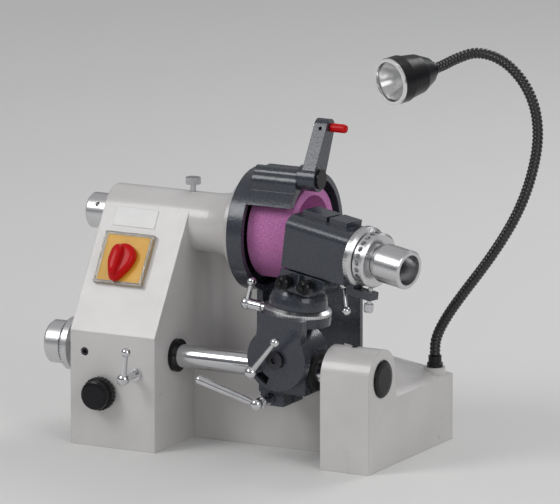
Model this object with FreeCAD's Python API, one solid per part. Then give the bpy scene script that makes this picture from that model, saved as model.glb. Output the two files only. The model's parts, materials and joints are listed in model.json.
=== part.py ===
import FreeCAD, Part
import math
import os

V = FreeCAD.Vector

# Base and body casting, in millimetres
BASE_LENGTH = 346.0
BASE_DEPTH = 208.0
DECK_HEIGHT = 76.0
WALL = 8.0
COLUMN_WIDTH = 101.0
KNEE_HEIGHT = 123.0
LEDGE_HEIGHT = 92.0
RECESS_FRONT_Y = -18.0
MIDDLE_FRONT_Y = 10.0
CORNER_FILLET = 22.0
SUPPORT_WIDTH = 57.0
SUPPORT_RADIUS = 31.0
RAMP_FRONT_Y = -35.0
RAMP_HIGH = 125.0
RAMP_LOW = 80.0
RAMP_EDGE = 71.0
BOLT_SPACING_X = 304.0
BOLT_SPACING_Y = 152.0
BOLT_HOLE_RADIUS = 4.5
LUG_RADIUS = 14.0
LUG_HEIGHT = 25.0

# Spindle barrel, quill and drive
SPINDLE_HEIGHT = 230.0
BARREL_RADIUS = 31.5
BARREL_REACH = 64.0
FLANGE_RADIUS = 50.0
FLANGE_THICKNESS = 12.0
FLARE_LENGTH = 36.0
QUILL_RADIUS = 24.0
QUILL_BORE = 20.5
QUILL_LENGTH = 151.0
QUILL_TRAVEL = 7.0
SPINDLE_RADIUS = 10.0
SPINDLE_PULLEY_RADIUS = 14.0
MOTOR_PULLEY_RADIUS = 26.0
MOTOR_RADIUS = 38.0
MOTOR_LENGTH = 105.0
MOTOR_Z = 80.0
MOTOR_SHAFT_RADIUS = 7.0
BELT_THICKNESS = 1.7
BELT_WIDTH = 8.0
FEED_KNOB_RADIUS = 19.0
FEED_KNOB_LENGTH = 28.0

# Wheel, guard and dresser
WHEEL_RADIUS = 50.0
WHEEL_WIDTH = 50.0
WHEEL_RIM = 10.0
WHEEL_WEB = 15.0
WHEEL_BACK_GAP = 10.0
GUARD_GAP = 9.0
GUARD_WALL = 6.0
GUARD_SIDE = 7.0
GUARD_RING = 18.0
GUARD_PLATE_REACH = 24.0
BRIDGE_FRONT_Y = -42.0
BRIDGE_BOTTOM_RISE = 36.0
DRESSER_PIVOT_Y = -28.0
DRESSER_PIVOT_RISE = 65.0
DRESSER_HUB_RADIUS = 13.5
DRESSER_PIN_RADIUS = 5.0
DRESSER_ARM_LENGTH = 57.0
DRESSER_ARM_LEAN = 28.0
DRESSER_ARM_WIDTH = 16.0
DRESSER_ROD_RADIUS = 2.2

# Guide bar and its feed
BAR_RADIUS = 12.5
BAR_Y = -58.0
BAR_HEIGHT = 97.0
BUSH_WALL = 3.5
BAR_TRAVEL = 6.0
FEED_SCREW_RADIUS = 8.0
HANDWHEEL_RADIUS = 23.0
HANDWHEEL_LENGTH = 20.0
FEED_DIAL_RADIUS = 28.0
FEED_NECK_RADIUS = 18.0
FEED_NECK_LENGTH = 25.0

# Slide block, tilt bracket and swivel
PIVOT_OFFSET_X = 9.0
PIVOT_RISE = 17.0
BLOCK_HALF_LENGTH = 27.0
BLOCK_HALF_DEPTH = 25.5
BLOCK_DROP = 22.0
CLAMP_EAR_DROP = 15.0
SLIT_WIDTH = 2.4
TILT_DISC_RADIUS = 34.0
TILT_DISC_THICKNESS = 12.5
TILT_STUD_X = -22.0
TILT_STUD_Z = -13.0
TILT_SLOT_SWEEP = 48.0
PLATFORM_RISE = 36.0
PLATFORM_RADIUS = 36.0
PLATFORM_THICKNESS = 10.0
SWIVEL_RING_HEIGHT = 6.0
SWIVEL_PIN_RADIUS = 8.0

# Workhead, at its swivel and tilt in the resting pose
HEAD_YAW = -11.3
HEAD_TILT = 6.7
HEAD_AXIS_RISE = 9.0
HEAD_FRONT = -8.0
HEAD_LENGTH = 83.0
HEAD_HALF_WIDTH = 26.0
HEAD_DEPTH_BELOW = 29.0
HEAD_DEPTH_ABOVE = 26.0
HEAD_EDGE_RADIUS = 13.0
RIB_HEIGHT = 7.0
SADDLE_LENGTH = 58.0
SADDLE_THICKNESS = 22.0
SADDLE_GAP = 2.0
TONGUE_HALF_WIDTH = 10.0
TONGUE_HEIGHT = 6.0
DOME_RADIUS = 31.0
WORK_SPINDLE_RADIUS = 17.0
WORK_SPINDLE_LENGTH = 110.0
DRAWTUBE_RADIUS = 10.0
DRAWTUBE_BORE = 7.0
COLLET_RADIUS = 9.0
TOOL_RADIUS = 2.0
TOOL_REACH = 13.5
SCALE_COLLAR_RADIUS = 32.0
SCALE_COLLAR_WIDTH = 9.0
INDEX_RING_RADIUS = 29.0
INDEX_RING_WIDTH = 15.0
INDEX_NOTCHES = 24
END_TUBE_RADIUS = 20.5
END_TUBE_LENGTH = 39.0
END_TUBE_BORE = 16.0

# Switch, label and front controls on the column
SWITCH_SIZE = 58.0
SWITCH_X = 42.5
SWITCH_UP_SLOPE = 83.0
LABEL_SIZE = (50.0, 21.0)
LABEL_X = 41.0
LABEL_UP_SLOPE = 131.0
FRONT_LEVER_X = 79.0
FRONT_LEVER_HEIGHT = 83.0
STOP_KNOB_X = 38.0
STOP_KNOB_HEIGHT = 59.0
STOP_KNOB_RADIUS = 18.0
STOP_KNOB_FLUTES = 14
PLUG_X = 17.0
PLUG_HEIGHT = 101.0

# Lamp
LAMP_FOOT_INSET_X = 13.0
LAMP_FOOT_INSET_Y = 16.0
LAMP_SEAT_HEIGHT = 80.0
LAMP_FOOT_HEIGHT = 12.0
HOSE_RADIUS = 6.0
HOSE_BORE = 3.6
HOSE_RIB = 0.7
HOSE_RIBS = 110
HOSE_STRETCH = 22
LAMP_RADIUS = 25.0
LAMP_LENGTH = 60.0
LAMP_DIRECTION = V(-0.35, -0.93, -0.10)
HOSE_ROUTE = [
    V(0, 0, 0), V(0, 0, 8), V(0.8, 0, 16), V(6, 0, 30), V(23, 0, 57), V(69, 2, 117), V(100, 4, 170),
    V(116, 6, 225), V(115, 9, 265), V(100, 12, 297), V(74, 12, 321), V(48, 2, 330), V(32, -17, 324),
    V(24.5, -36.7, 318), V(21, -46, 317),
]

# Clearances
RUNNING = 0.05
CLEAR = 0.3
SEAT = 0.1
LAMP_GAP = 0.8

# Places worked out from the sizes above
LEFT = -BASE_LENGTH / 2
RIGHT = BASE_LENGTH / 2
FRONT = -BASE_DEPTH / 2
BACK = BASE_DEPTH / 2
COLUMN_RIGHT = LEFT + COLUMN_WIDTH
GUARD_LEFT = COLUMN_RIGHT + BARREL_REACH
WHEEL_BACK = GUARD_LEFT + GUARD_SIDE + WHEEL_BACK_GAP
WHEEL_FACE = WHEEL_BACK + WHEEL_WIDTH
GUARD_RIGHT = WHEEL_FACE + 3
GUARD_RADIUS = WHEEL_RADIUS + GUARD_GAP + GUARD_WALL
GUARD_BORE = WHEEL_RADIUS + GUARD_GAP
SUPPORT_LEFT = RIGHT - SUPPORT_WIDTH
QUILL_LEFT = LEFT + WALL + 0.5 + QUILL_TRAVEL
QUILL_RIGHT = QUILL_LEFT + QUILL_LENGTH
PULLEY_LEFT = QUILL_LEFT + 9.5
BELT_LEFT = PULLEY_LEFT + 2
MOTOR_Y = BACK - WALL - MOTOR_RADIUS - 2
MOTOR_LEFT = BELT_LEFT + BELT_WIDTH + 13
PIVOT_X = WHEEL_FACE + PIVOT_OFFSET_X
PIVOT_Z = BAR_HEIGHT + PIVOT_RISE
BLOCK_FRONT = BAR_Y - BLOCK_HALF_DEPTH
BLOCK_BACK = BAR_Y + BLOCK_HALF_DEPTH
DISC_BACK = BLOCK_FRONT - CLEAR
DISC_FRONT = DISC_BACK - TILT_DISC_THICKNESS
PLATFORM_TOP = PIVOT_Z + PLATFORM_RISE + PLATFORM_THICKNESS
SWIVEL_TOP = PLATFORM_TOP + SWIVEL_RING_HEIGHT
HEAD_AXIS = SPINDLE_HEIGHT + HEAD_AXIS_RISE
HEAD_BOTTOM = HEAD_AXIS - HEAD_DEPTH_BELOW
SADDLE_TOP = HEAD_BOTTOM - SADDLE_GAP
SADDLE_BOTTOM = SADDLE_TOP - SADDLE_THICKNESS
HEAD_LEFT = PIVOT_X + HEAD_FRONT
HEAD_RIGHT = HEAD_LEFT + HEAD_LENGTH
COLLAR_RIGHT = HEAD_RIGHT + SCALE_COLLAR_WIDTH
RING_LEFT = COLLAR_RIGHT + 0.5
RING_RIGHT = RING_LEFT + INDEX_RING_WIDTH
WORK_SPINDLE_LEFT = HEAD_LEFT - 2
DRESSER_PIVOT_Z = SPINDLE_HEIGHT + DRESSER_PIVOT_RISE
DRESSER_ARM_LEFT = WHEEL_FACE + 8.3
DRESSER_ARM_RIGHT = DRESSER_ARM_LEFT + DRESSER_ARM_WIDTH
LAMP_X = RIGHT - LAMP_FOOT_INSET_X
LAMP_Y = BACK - LAMP_FOOT_INSET_Y
HOSE_START = V(LAMP_X, LAMP_Y, LAMP_SEAT_HEIGHT + LAMP_FOOT_HEIGHT + CLEAR)


def box(x, y, z):
    """A box between pairs of coordinates."""
    return Part.makeBox(x[1] - x[0], y[1] - y[0], z[1] - z[0], V(x[0], y[0], z[0]))


def rod_x(x0, x1, y, z, radius):
    """A cylinder along X."""
    return Part.makeCylinder(radius, x1 - x0, V(x0, y, z), V(1, 0, 0))


def rod_y(y0, y1, x, z, radius):
    """A cylinder along Y."""
    return Part.makeCylinder(radius, y1 - y0, V(x, y0, z), V(0, 1, 0))


def rod_z(z0, z1, x, y, radius):
    """A cylinder along Z."""
    return Part.makeCylinder(radius, z1 - z0, V(x, y, z0), V(0, 0, 1))


def tube_x(x0, x1, y, z, outer, inner):
    """A plain tube along X."""
    return rod_x(x0, x1, y, z, outer).cut(rod_x(x0 - 1, x1 + 1, y, z, inner))


def turned(profile, at, direction):
    """A solid of revolution: profile is (distance along, radius) from the axis and back to it."""
    points = [V(r, 0, d) for d, r in profile]
    face = Part.Face(Part.makePolygon(points + points[:1]))
    solid = face.revolve(V(0, 0, 0), V(0, 0, 1), 360)
    solid.Placement = FreeCAD.Placement(at, FreeCAD.Rotation(V(0, 0, 1), direction))
    return solid


def prism_x(points, x0, x1):
    """A polygon of (y, z) points drawn out along X."""
    corners = [V(x0, y, z) for y, z in points]
    return Part.Face(Part.makePolygon(corners + corners[:1])).extrude(V(x1 - x0, 0, 0))


def prism_y(points, y0, y1):
    """A polygon of (x, z) points drawn out along Y."""
    corners = [V(x, y0, z) for x, z in points]
    return Part.Face(Part.makePolygon(corners + corners[:1])).extrude(V(0, y1 - y0, 0))


def link_x(first, first_radius, second, second_radius, x0, x1):
    """Two discs at (y, z) centres and the tangent hull between them, drawn out along X."""
    dy = second[0] - first[0]
    dz = second[1] - first[1]
    heading = math.atan2(dz, dy)
    lean = math.acos((first_radius - second_radius) / math.hypot(dy, dz))
    points = []
    for centre, radius, side in (
        (first, first_radius, -1), (second, second_radius, -1), (second, second_radius, 1), (first, first_radius, 1),
    ):
        turn = heading + side * lean
        points.append((centre[0] + radius * math.cos(turn), centre[1] + radius * math.sin(turn)))
    hull = prism_x(points, x0, x1)
    discs = rod_x(x0, x1, first[0], first[1], first_radius).fuse(rod_x(x0, x1, second[0], second[1], second_radius))
    return hull.fuse(discs).removeSplitter()


def fused(shapes):
    """One solid from several that overlap."""
    return shapes[0].multiFuse(shapes[1:]).removeSplitter()


def on_tilt(shape):
    """Turn a piece with the tilt bracket to its resting tilt."""
    turned_shape = shape.copy()
    turned_shape.rotate(V(PIVOT_X, 0, PIVOT_Z), V(0, 1, 0), HEAD_TILT)
    return turned_shape


def on_swivel(shape):
    """Turn a piece with the workhead to its resting swivel and tilt."""
    turned_shape = shape.copy()
    turned_shape.rotate(V(PIVOT_X, BAR_Y, 0), V(0, 0, 1), HEAD_YAW)
    return on_tilt(turned_shape)


def ball_lever(seat, shaft, arm, shaft_radius=4.0, ball_radius=5.0):
    """A clamp lever: a shaft out of its seat, a ball hub, a tapered arm and a ball."""
    hub = seat + shaft
    reach = hub + arm
    grip = Part.makeCone(shaft_radius * 0.85, shaft_radius * 0.6, arm.Length, hub, arm)
    stem = Part.makeCylinder(shaft_radius, shaft.Length, seat, shaft)
    return fused([stem, Part.makeSphere(shaft_radius * 1.7, hub), grip, Part.makeSphere(ball_radius, reach)])


# The column's sloped front, from its knee to the barrel
KNEE_SPAN = math.hypot(FRONT, SPINDLE_HEIGHT - KNEE_HEIGHT)
SLOPE_ANGLE = math.atan2(SPINDLE_HEIGHT - KNEE_HEIGHT, -FRONT) + math.asin(BARREL_RADIUS / KNEE_SPAN)
SLOPE_LENGTH = math.sqrt(KNEE_SPAN**2 - BARREL_RADIUS**2)
SLOPE_UP = V(0, math.cos(SLOPE_ANGLE), math.sin(SLOPE_ANGLE))
SLOPE_OUT = V(0, -math.sin(SLOPE_ANGLE), math.cos(SLOPE_ANGLE))
CAVITY_TOP = SPINDLE_HEIGHT - BARREL_RADIUS - 6


def on_slope(shape, x, up):
    """Set a piece drawn on the XY plane on the column's sloped front."""
    spin = FreeCAD.Rotation(V(1, 0, 0), SLOPE_UP, SLOPE_OUT, "ZXY")
    at = V(LEFT + x, FRONT, KNEE_HEIGHT) + SLOPE_UP * up
    placed = shape.copy()
    placed.Placement = FreeCAD.Placement(at, spin).multiply(placed.Placement)
    return placed


def column_profile(x0, x1):
    """The column's outline, round over the barrel with two straight flanks, drawn out along X."""
    knee = V(x0, FRONT, KNEE_HEIGHT)
    top = knee + SLOPE_UP * SLOPE_LENGTH
    crown = V(x0, 0, SPINDLE_HEIGHT + BARREL_RADIUS)
    mirror = V(x0, -top.y, top.z)
    corners = [mirror, V(x0, BACK, KNEE_HEIGHT), V(x0, BACK, 0), V(x0, FRONT, 0), knee, top]
    edges = [Part.Arc(top, crown, mirror).toShape()]
    edges += [Part.LineSegment(a, b).toShape() for a, b in zip(corners, corners[1:])]
    return Part.Face(Part.Wire(edges)).extrude(V(x1 - x0, 0, 0))


def cavity_profile(x0, x1):
    """The hollow inside the column, one wall in from its outline."""
    inward = SLOPE_OUT * -WALL
    foot_y = FRONT + WALL
    slope = SLOPE_UP.z / SLOPE_UP.y
    knee_z = KNEE_HEIGHT + inward.z + (foot_y - FRONT - inward.y) * slope
    top_y = FRONT + inward.y + (CAVITY_TOP - KNEE_HEIGHT - inward.z) / slope
    half = [(foot_y, -1), (foot_y, knee_z), (top_y, CAVITY_TOP)]
    return prism_x(half + [(-y, z) for y, z in reversed(half)], x0, x1)


def lug_places():
    """The four mounting holes under the base."""
    return [(sx * BOLT_SPACING_X / 2, sy * BOLT_SPACING_Y / 2) for sx in (-1, 1) for sy in (-1, 1)]


def plate_screw_places():
    """The four screws that hold the bottom plate."""
    return [(x, y) for x in (-60.0, 100.0) for y in (BACK - WALL - 5, RECESS_FRONT_Y + WALL + 5)]


def belt_window():
    """The opening through the barrel's underside that the belt runs in."""
    x = (PULLEY_LEFT - 3, PULLEY_LEFT + 22)
    upper = box(x, (-22, 31), (CAVITY_TOP - 2, SPINDLE_HEIGHT - 2))
    return upper.fuse(box(x, (-22, 41), (CAVITY_TOP - 2, CAVITY_TOP + 12)))


def barrel():
    """The spindle barrel with its flare and the flange that carries the guard."""
    flange_left = GUARD_LEFT - FLANGE_THICKNESS
    flare_left = flange_left - FLARE_LENGTH
    rise = FLANGE_RADIUS - 3 - BARREL_RADIUS
    steps = [i / 8 for i in range(9)]
    flare = [(flare_left + FLARE_LENGTH * math.sin(t * math.pi / 2), BARREL_RADIUS + rise * (1 - math.cos(t * math.pi / 2)))
             for t in steps]
    profile = [(LEFT, 0), (LEFT, BARREL_RADIUS)] + flare
    profile += [(flange_left, FLANGE_RADIUS), (GUARD_LEFT, FLANGE_RADIUS), (GUARD_LEFT, 0)]
    return turned(profile, V(0, 0, SPINDLE_HEIGHT), V(1, 0, 0))


def corner_fillet():
    """The round inner corner between the column's side and the recessed wall."""
    r = CORNER_FILLET
    x, y = COLUMN_RIGHT, MIDDLE_FRONT_Y
    block = box((x - 1, x + r), (y - r, y + 1), (LEDGE_HEIGHT - 1, SPINDLE_HEIGHT - 8))
    return block.cut(rod_z(0, SPINDLE_HEIGHT + 1, x + r, y - r, r))


def support():
    """The right-hand bar support and the ramp behind it."""
    arch = rod_x(SUPPORT_LEFT, RIGHT, BAR_Y, BAR_HEIGHT, SUPPORT_RADIUS)
    leg = box((SUPPORT_LEFT, RIGHT), (BAR_Y - SUPPORT_RADIUS, BAR_Y + SUPPORT_RADIUS), (0, BAR_HEIGHT))
    wires = []
    for x, high, low in ((SUPPORT_LEFT, RAMP_HIGH, RAMP_LOW), (RIGHT, RAMP_EDGE, RAMP_EDGE)):
        corners = [V(x, RAMP_FRONT_Y, 0), V(x, RAMP_FRONT_Y, high), V(x, BACK, low), V(x, BACK, 0)]
        wires.append(Part.makePolygon(corners + corners[:1]))
    ramp = Part.makeLoft(wires, True, True)
    seat = rod_z(RAMP_EDGE - 12, LAMP_SEAT_HEIGHT, LAMP_X, LAMP_Y, 11)
    return fused([arch, leg, ramp, seat])


def body_casting():
    """The hollow body: column, barrel, recessed wall, deck and bar support."""
    column = column_profile(LEFT, COLUMN_RIGHT)
    middle = column_profile(COLUMN_RIGHT - 1, GUARD_LEFT)
    middle = middle.common(box((COLUMN_RIGHT - 1, GUARD_LEFT), (MIDDLE_FRONT_Y, BACK), (0, SPINDLE_HEIGHT)))
    ledge = box((COLUMN_RIGHT - 1, GUARD_LEFT), (RECESS_FRONT_Y, BACK), (0, LEDGE_HEIGHT))
    deck = box((LEFT, RIGHT), (RECESS_FRONT_Y, BACK), (0, DECK_HEIGHT))
    deck = deck.cut(box((SUPPORT_LEFT, RIGHT + 1), (RECESS_FRONT_Y - 1, BACK + 1), (RAMP_EDGE - 1, DECK_HEIGHT + 1)))
    body = fused([column, middle, ledge, deck, barrel(), corner_fillet(), support()])
    inner_back = BACK - WALL
    middle_cavity = cavity_profile(COLUMN_RIGHT - WALL - 1, GUARD_LEFT - WALL)
    middle_cavity = middle_cavity.common(
        box((COLUMN_RIGHT - WALL - 1, GUARD_LEFT - WALL), (MIDDLE_FRONT_Y + WALL, inner_back), (-1, CAVITY_TOP)))
    hollows = [
        cavity_profile(LEFT + WALL, COLUMN_RIGHT - WALL),
        middle_cavity,
        box((LEFT + WALL, RIGHT - WALL), (RECESS_FRONT_Y + WALL, inner_back), (-1, RAMP_EDGE - WALL)),
        box((SUPPORT_LEFT + WALL, RIGHT - WALL), (BAR_Y - SUPPORT_RADIUS + WALL, inner_back), (-1, RAMP_EDGE - WALL)),
    ]
    body = body.cut(fused(hollows))
    lugs = [rod_z(0, LUG_HEIGHT, x, y, LUG_RADIUS) for x, y in lug_places()]
    lugs += [rod_z(3, 20, x, y, 6) for x, y in plate_screw_places()]
    body = body.multiFuse(lugs)
    bush_radius = BAR_RADIUS + BUSH_WALL
    holes = [
        rod_x(LEFT + WALL, GUARD_LEFT + 1, 0, SPINDLE_HEIGHT, QUILL_RADIUS),
        rod_x(LEFT - 1, LEFT + WALL + 1, 0, SPINDLE_HEIGHT, 6 + CLEAR),
        belt_window(),
        rod_x(COLUMN_RIGHT - WALL - 1, COLUMN_RIGHT + 1, BAR_Y, BAR_HEIGHT, bush_radius),
        rod_x(LEFT - 1, LEFT + WALL + 1, BAR_Y, BAR_HEIGHT, FEED_SCREW_RADIUS + 3),
        rod_x(SUPPORT_LEFT - 1, RIGHT + 1, BAR_Y, BAR_HEIGHT, bush_radius),
        rod_x(RIGHT - 4, RIGHT + 1, BAR_Y, BAR_HEIGHT, 20),
        rod_z(BAR_HEIGHT, BAR_HEIGHT + SUPPORT_RADIUS + 1, SUPPORT_LEFT + 25, BAR_Y, 3),
        rod_y(FRONT - 1, FRONT + WALL + 1, LEFT + PLUG_X, PLUG_HEIGHT, 4.5),
        rod_y(FRONT - 1, FRONT + WALL + 1, LEFT + FRONT_LEVER_X, FRONT_LEVER_HEIGHT, 4 + CLEAR),
        rod_y(FRONT - 1, FRONT + WALL + 1, LEFT + STOP_KNOB_X, STOP_KNOB_HEIGHT, 5 + CLEAR),
        rod_y(BACK - WALL - 1, BACK + 1, LEFT + 33, 40, 6),
        rod_z(SPINDLE_HEIGHT, SPINDLE_HEIGHT + BARREL_RADIUS + 1, COLUMN_RIGHT - 10, 0, 3 + CLEAR),
        rod_z(LAMP_SEAT_HEIGHT - 6, LAMP_SEAT_HEIGHT + 1, LAMP_X, LAMP_Y, 4),
        on_slope(box((-21, 21), (-21, 21), (-41, 1)), SWITCH_X, SWITCH_UP_SLOPE),
    ]
    holes += [rod_z(-1, LUG_HEIGHT - 4, x, y, BOLT_HOLE_RADIUS) for x, y in lug_places()]
    holes += [rod_z(0, 16, x, y, 2) for x, y in plate_screw_places()]
    return body.cut(fused(holes)).removeSplitter()


def bottom_plate():
    """The sheet that closes the base from below, cut round the mounting lugs."""
    gap = CLEAR
    inner_back = BACK - WALL - gap
    left, right = LEFT + WALL + gap, RIGHT - WALL - gap
    plate = fused([
        box((left, right), (RECESS_FRONT_Y + WALL + gap, inner_back), (0, 2.5)),
        box((left, COLUMN_RIGHT - WALL - gap), (FRONT + WALL + gap, inner_back), (0, 2.5)),
        box((SUPPORT_LEFT + WALL + gap, right), (BAR_Y - SUPPORT_RADIUS + WALL + gap, inner_back), (0, 2.5)),
    ])
    cuts = [rod_z(-1, 4, x, y, LUG_RADIUS + gap) for x, y in lug_places()]
    cuts += [rod_z(-1, 4, x, y, 2.1) for x, y in plate_screw_places()]
    cuts += [rod_z(-1, 1.4, x, y, 4.3) for x, y in plate_screw_places()]
    return plate.cut(fused(cuts))


def bottom_plate_screws():
    """Four flush screws under the base."""
    screws = []
    for x, y in plate_screw_places():
        head = rod_z(0.2, 1.4, x, y, 4).cut(box((x - 3, x + 3), (y - 0.5, y + 0.5), (0, 0.8)))
        screws.append(head.fuse(rod_z(1.4, 15, x, y, 1.9)))
    return Part.makeCompound(screws)


def cable_gland():
    """The gland for the supply cable at the back of the column."""
    profile = [(-12, 0), (-12, 5.7), (0, 5.7), (0, 11), (5, 11), (5, 8.5), (14, 7), (14, 4), (9, 4), (9, 0)]
    return turned(profile, V(LEFT + 33, BACK, 40), V(0, 1, 0))


def front_plug():
    """The dark plug screw in the column's front, with a socket in its face."""
    plug = rod_y(FRONT + 1, FRONT + WALL, LEFT + PLUG_X, PLUG_HEIGHT, 4.4)
    return plug.cut(rod_y(FRONT, FRONT + 4, LEFT + PLUG_X, PLUG_HEIGHT, 2.2))


def motor_body():
    """The motor's ribbed shell on its foot."""
    profile = [(0, 0), (0, 20), (3, 20), (3, MOTOR_RADIUS - 4)]
    ribs = int((MOTOR_LENGTH - 12) // 8)
    for i in range(ribs):
        d = 6 + i * 8
        profile += [(d, MOTOR_RADIUS - 4), (d, MOTOR_RADIUS), (d + 4, MOTOR_RADIUS), (d + 4, MOTOR_RADIUS - 4)]
    profile += [(MOTOR_LENGTH, MOTOR_RADIUS - 4), (MOTOR_LENGTH, 0)]
    shell = turned(profile, V(MOTOR_LEFT, MOTOR_Y, MOTOR_Z), V(1, 0, 0))
    foot = box((MOTOR_LEFT + 10, MOTOR_LEFT + MOTOR_LENGTH - 12), (MOTOR_Y - 26, MOTOR_Y + 26), (2.5, MOTOR_Z - 22))
    bore = rod_x(MOTOR_LEFT - 1, MOTOR_LEFT + 40, MOTOR_Y, MOTOR_Z, MOTOR_SHAFT_RADIUS + RUNNING)
    return shell.fuse(foot).cut(bore).removeSplitter()


def motor_rotor():
    """The motor's turning shaft with the larger pulley on it."""
    shaft = rod_x(BELT_LEFT - 2, MOTOR_LEFT + 39, MOTOR_Y, MOTOR_Z, MOTOR_SHAFT_RADIUS)
    wheel = rod_x(BELT_LEFT - 2, BELT_LEFT + BELT_WIDTH + 2, MOTOR_Y, MOTOR_Z, MOTOR_PULLEY_RADIUS)
    return shaft.fuse(wheel).removeSplitter()


def drive_belt():
    """The flat belt between the motor and the wheel spindle."""
    ends = ((0, SPINDLE_HEIGHT), SPINDLE_PULLEY_RADIUS + CLEAR, (MOTOR_Y, MOTOR_Z), MOTOR_PULLEY_RADIUS + CLEAR)
    inner = link_x(*ends, BELT_LEFT - 1, BELT_LEFT + BELT_WIDTH + 1)
    thick = (ends[0], ends[1] + BELT_THICKNESS, ends[2], ends[3] + BELT_THICKNESS)
    return link_x(*thick, BELT_LEFT, BELT_LEFT + BELT_WIDTH).cut(inner)


def quill():
    """The sliding sleeve that carries the wheel spindle's bearings."""
    sleeve = tube_x(QUILL_LEFT, QUILL_RIGHT, 0, SPINDLE_HEIGHT, QUILL_RADIUS - RUNNING, QUILL_BORE)
    plug = tube_x(QUILL_LEFT, QUILL_LEFT + 5, 0, SPINDLE_HEIGHT, QUILL_BORE + 1, 6 + RUNNING)
    window = box((PULLEY_LEFT - 3, PULLEY_LEFT + 22), (-25, 25), (SPINDLE_HEIGHT - 25, SPINDLE_HEIGHT + 6))
    return sleeve.fuse(plug).cut(window).removeSplitter()


def quill_bearings():
    """Two ball bearings, as plain rings."""
    places = (PULLEY_LEFT + 26, QUILL_RIGHT - 16)
    return Part.makeCompound(
        [tube_x(x, x + 12, 0, SPINDLE_HEIGHT, QUILL_BORE - SEAT, SPINDLE_RADIUS + RUNNING) for x in places])


def wheel_spindle():
    """The wheel's shaft with its collar, hollow at the left end to pass the feed screw."""
    left = PULLEY_LEFT - 2
    shaft = rod_x(left, WHEEL_BACK + WHEEL_WEB + 14, 0, SPINDLE_HEIGHT, SPINDLE_RADIUS)
    collar = rod_x(WHEEL_BACK - 8, WHEEL_BACK, 0, SPINDLE_HEIGHT, 18)
    return shaft.fuse(collar).cut(rod_x(left - 1, left + 12, 0, SPINDLE_HEIGHT, 7)).removeSplitter()


def spindle_pulley():
    """The wide crowned pulley on the wheel spindle."""
    profile = [(0, 0), (0, SPINDLE_PULLEY_RADIUS - 0.5), (10, SPINDLE_PULLEY_RADIUS)]
    profile += [(20, SPINDLE_PULLEY_RADIUS - 0.5), (20, 0)]
    pulley = turned(profile, V(PULLEY_LEFT, 0, SPINDLE_HEIGHT), V(1, 0, 0))
    return pulley.cut(rod_x(PULLEY_LEFT - 1, PULLEY_LEFT + 21, 0, SPINDLE_HEIGHT, SPINDLE_RADIUS + SEAT))


def wheel_nut():
    """The washer and hexagon nut inside the cup."""
    start = WHEEL_BACK + WHEEL_WEB
    washer = rod_x(start, start + 3, 0, SPINDLE_HEIGHT, 20)
    corners = [(16 * math.cos(math.radians(60 * i)), SPINDLE_HEIGHT + 16 * math.sin(math.radians(60 * i))) for i in range(6)]
    nut = washer.fuse(prism_x(corners, start + 3, start + 12))
    return nut.cut(rod_x(start - 1, start + 13, 0, SPINDLE_HEIGHT, SPINDLE_RADIUS + SEAT))


def grinding_wheel():
    """The straight cup wheel, open towards the work."""
    wheel = rod_x(WHEEL_BACK, WHEEL_FACE, 0, SPINDLE_HEIGHT, WHEEL_RADIUS)
    cup = rod_x(WHEEL_BACK + WHEEL_WEB, WHEEL_FACE + 1, 0, SPINDLE_HEIGHT, WHEEL_RADIUS - WHEEL_RIM)
    bore = rod_x(WHEEL_BACK - 1, WHEEL_FACE, 0, SPINDLE_HEIGHT, SPINDLE_RADIUS + SEAT)
    return wheel.cut(cup.fuse(bore))


def spindle_feed_knob():
    """The plain drum that feeds the wheel along, with a tommy-bar hole and its screw."""
    end = LEFT - 2
    start = end - FEED_KNOB_LENGTH
    r = FEED_KNOB_RADIUS
    profile = [(start, 0), (start, r - 2), (start + 2, r), (end - 1, r), (end, r - 1), (end, 9), (LEFT - CLEAR, 9), (LEFT - CLEAR, 0)]
    drum = turned(profile, V(0, 0, SPINDLE_HEIGHT), V(1, 0, 0))
    hole = Part.makeCylinder(2.5, r, V((start + end) / 2, 0, SPINDLE_HEIGHT), V(0, -0.85, 0.55))
    screw = rod_x(LEFT - 1, PULLEY_LEFT, 0, SPINDLE_HEIGHT, 6)
    drum = drum.cut(hole.cut(rod_x(start, end, 0, SPINDLE_HEIGHT, r - 7)))
    return drum.fuse(screw).removeSplitter()


def thumb_screw():
    """The knurled screw that locks the quill, on top of the barrel."""
    top = SPINDLE_HEIGHT + BARREL_RADIUS
    x = COLUMN_RIGHT - 10
    knurls = 20
    head = rod_z(top + 8, top + 15, x, 0, 8)
    for i in range(knurls):
        a = 2 * math.pi * i / knurls
        head = head.cut(rod_z(top + 7, top + 16, x + 8.2 * math.cos(a), 8.2 * math.sin(a), 0.8))
    return head.fuse(rod_z(SPINDLE_HEIGHT + QUILL_RADIUS + CLEAR, top + 8, x, 0, 3)).removeSplitter()


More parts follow.
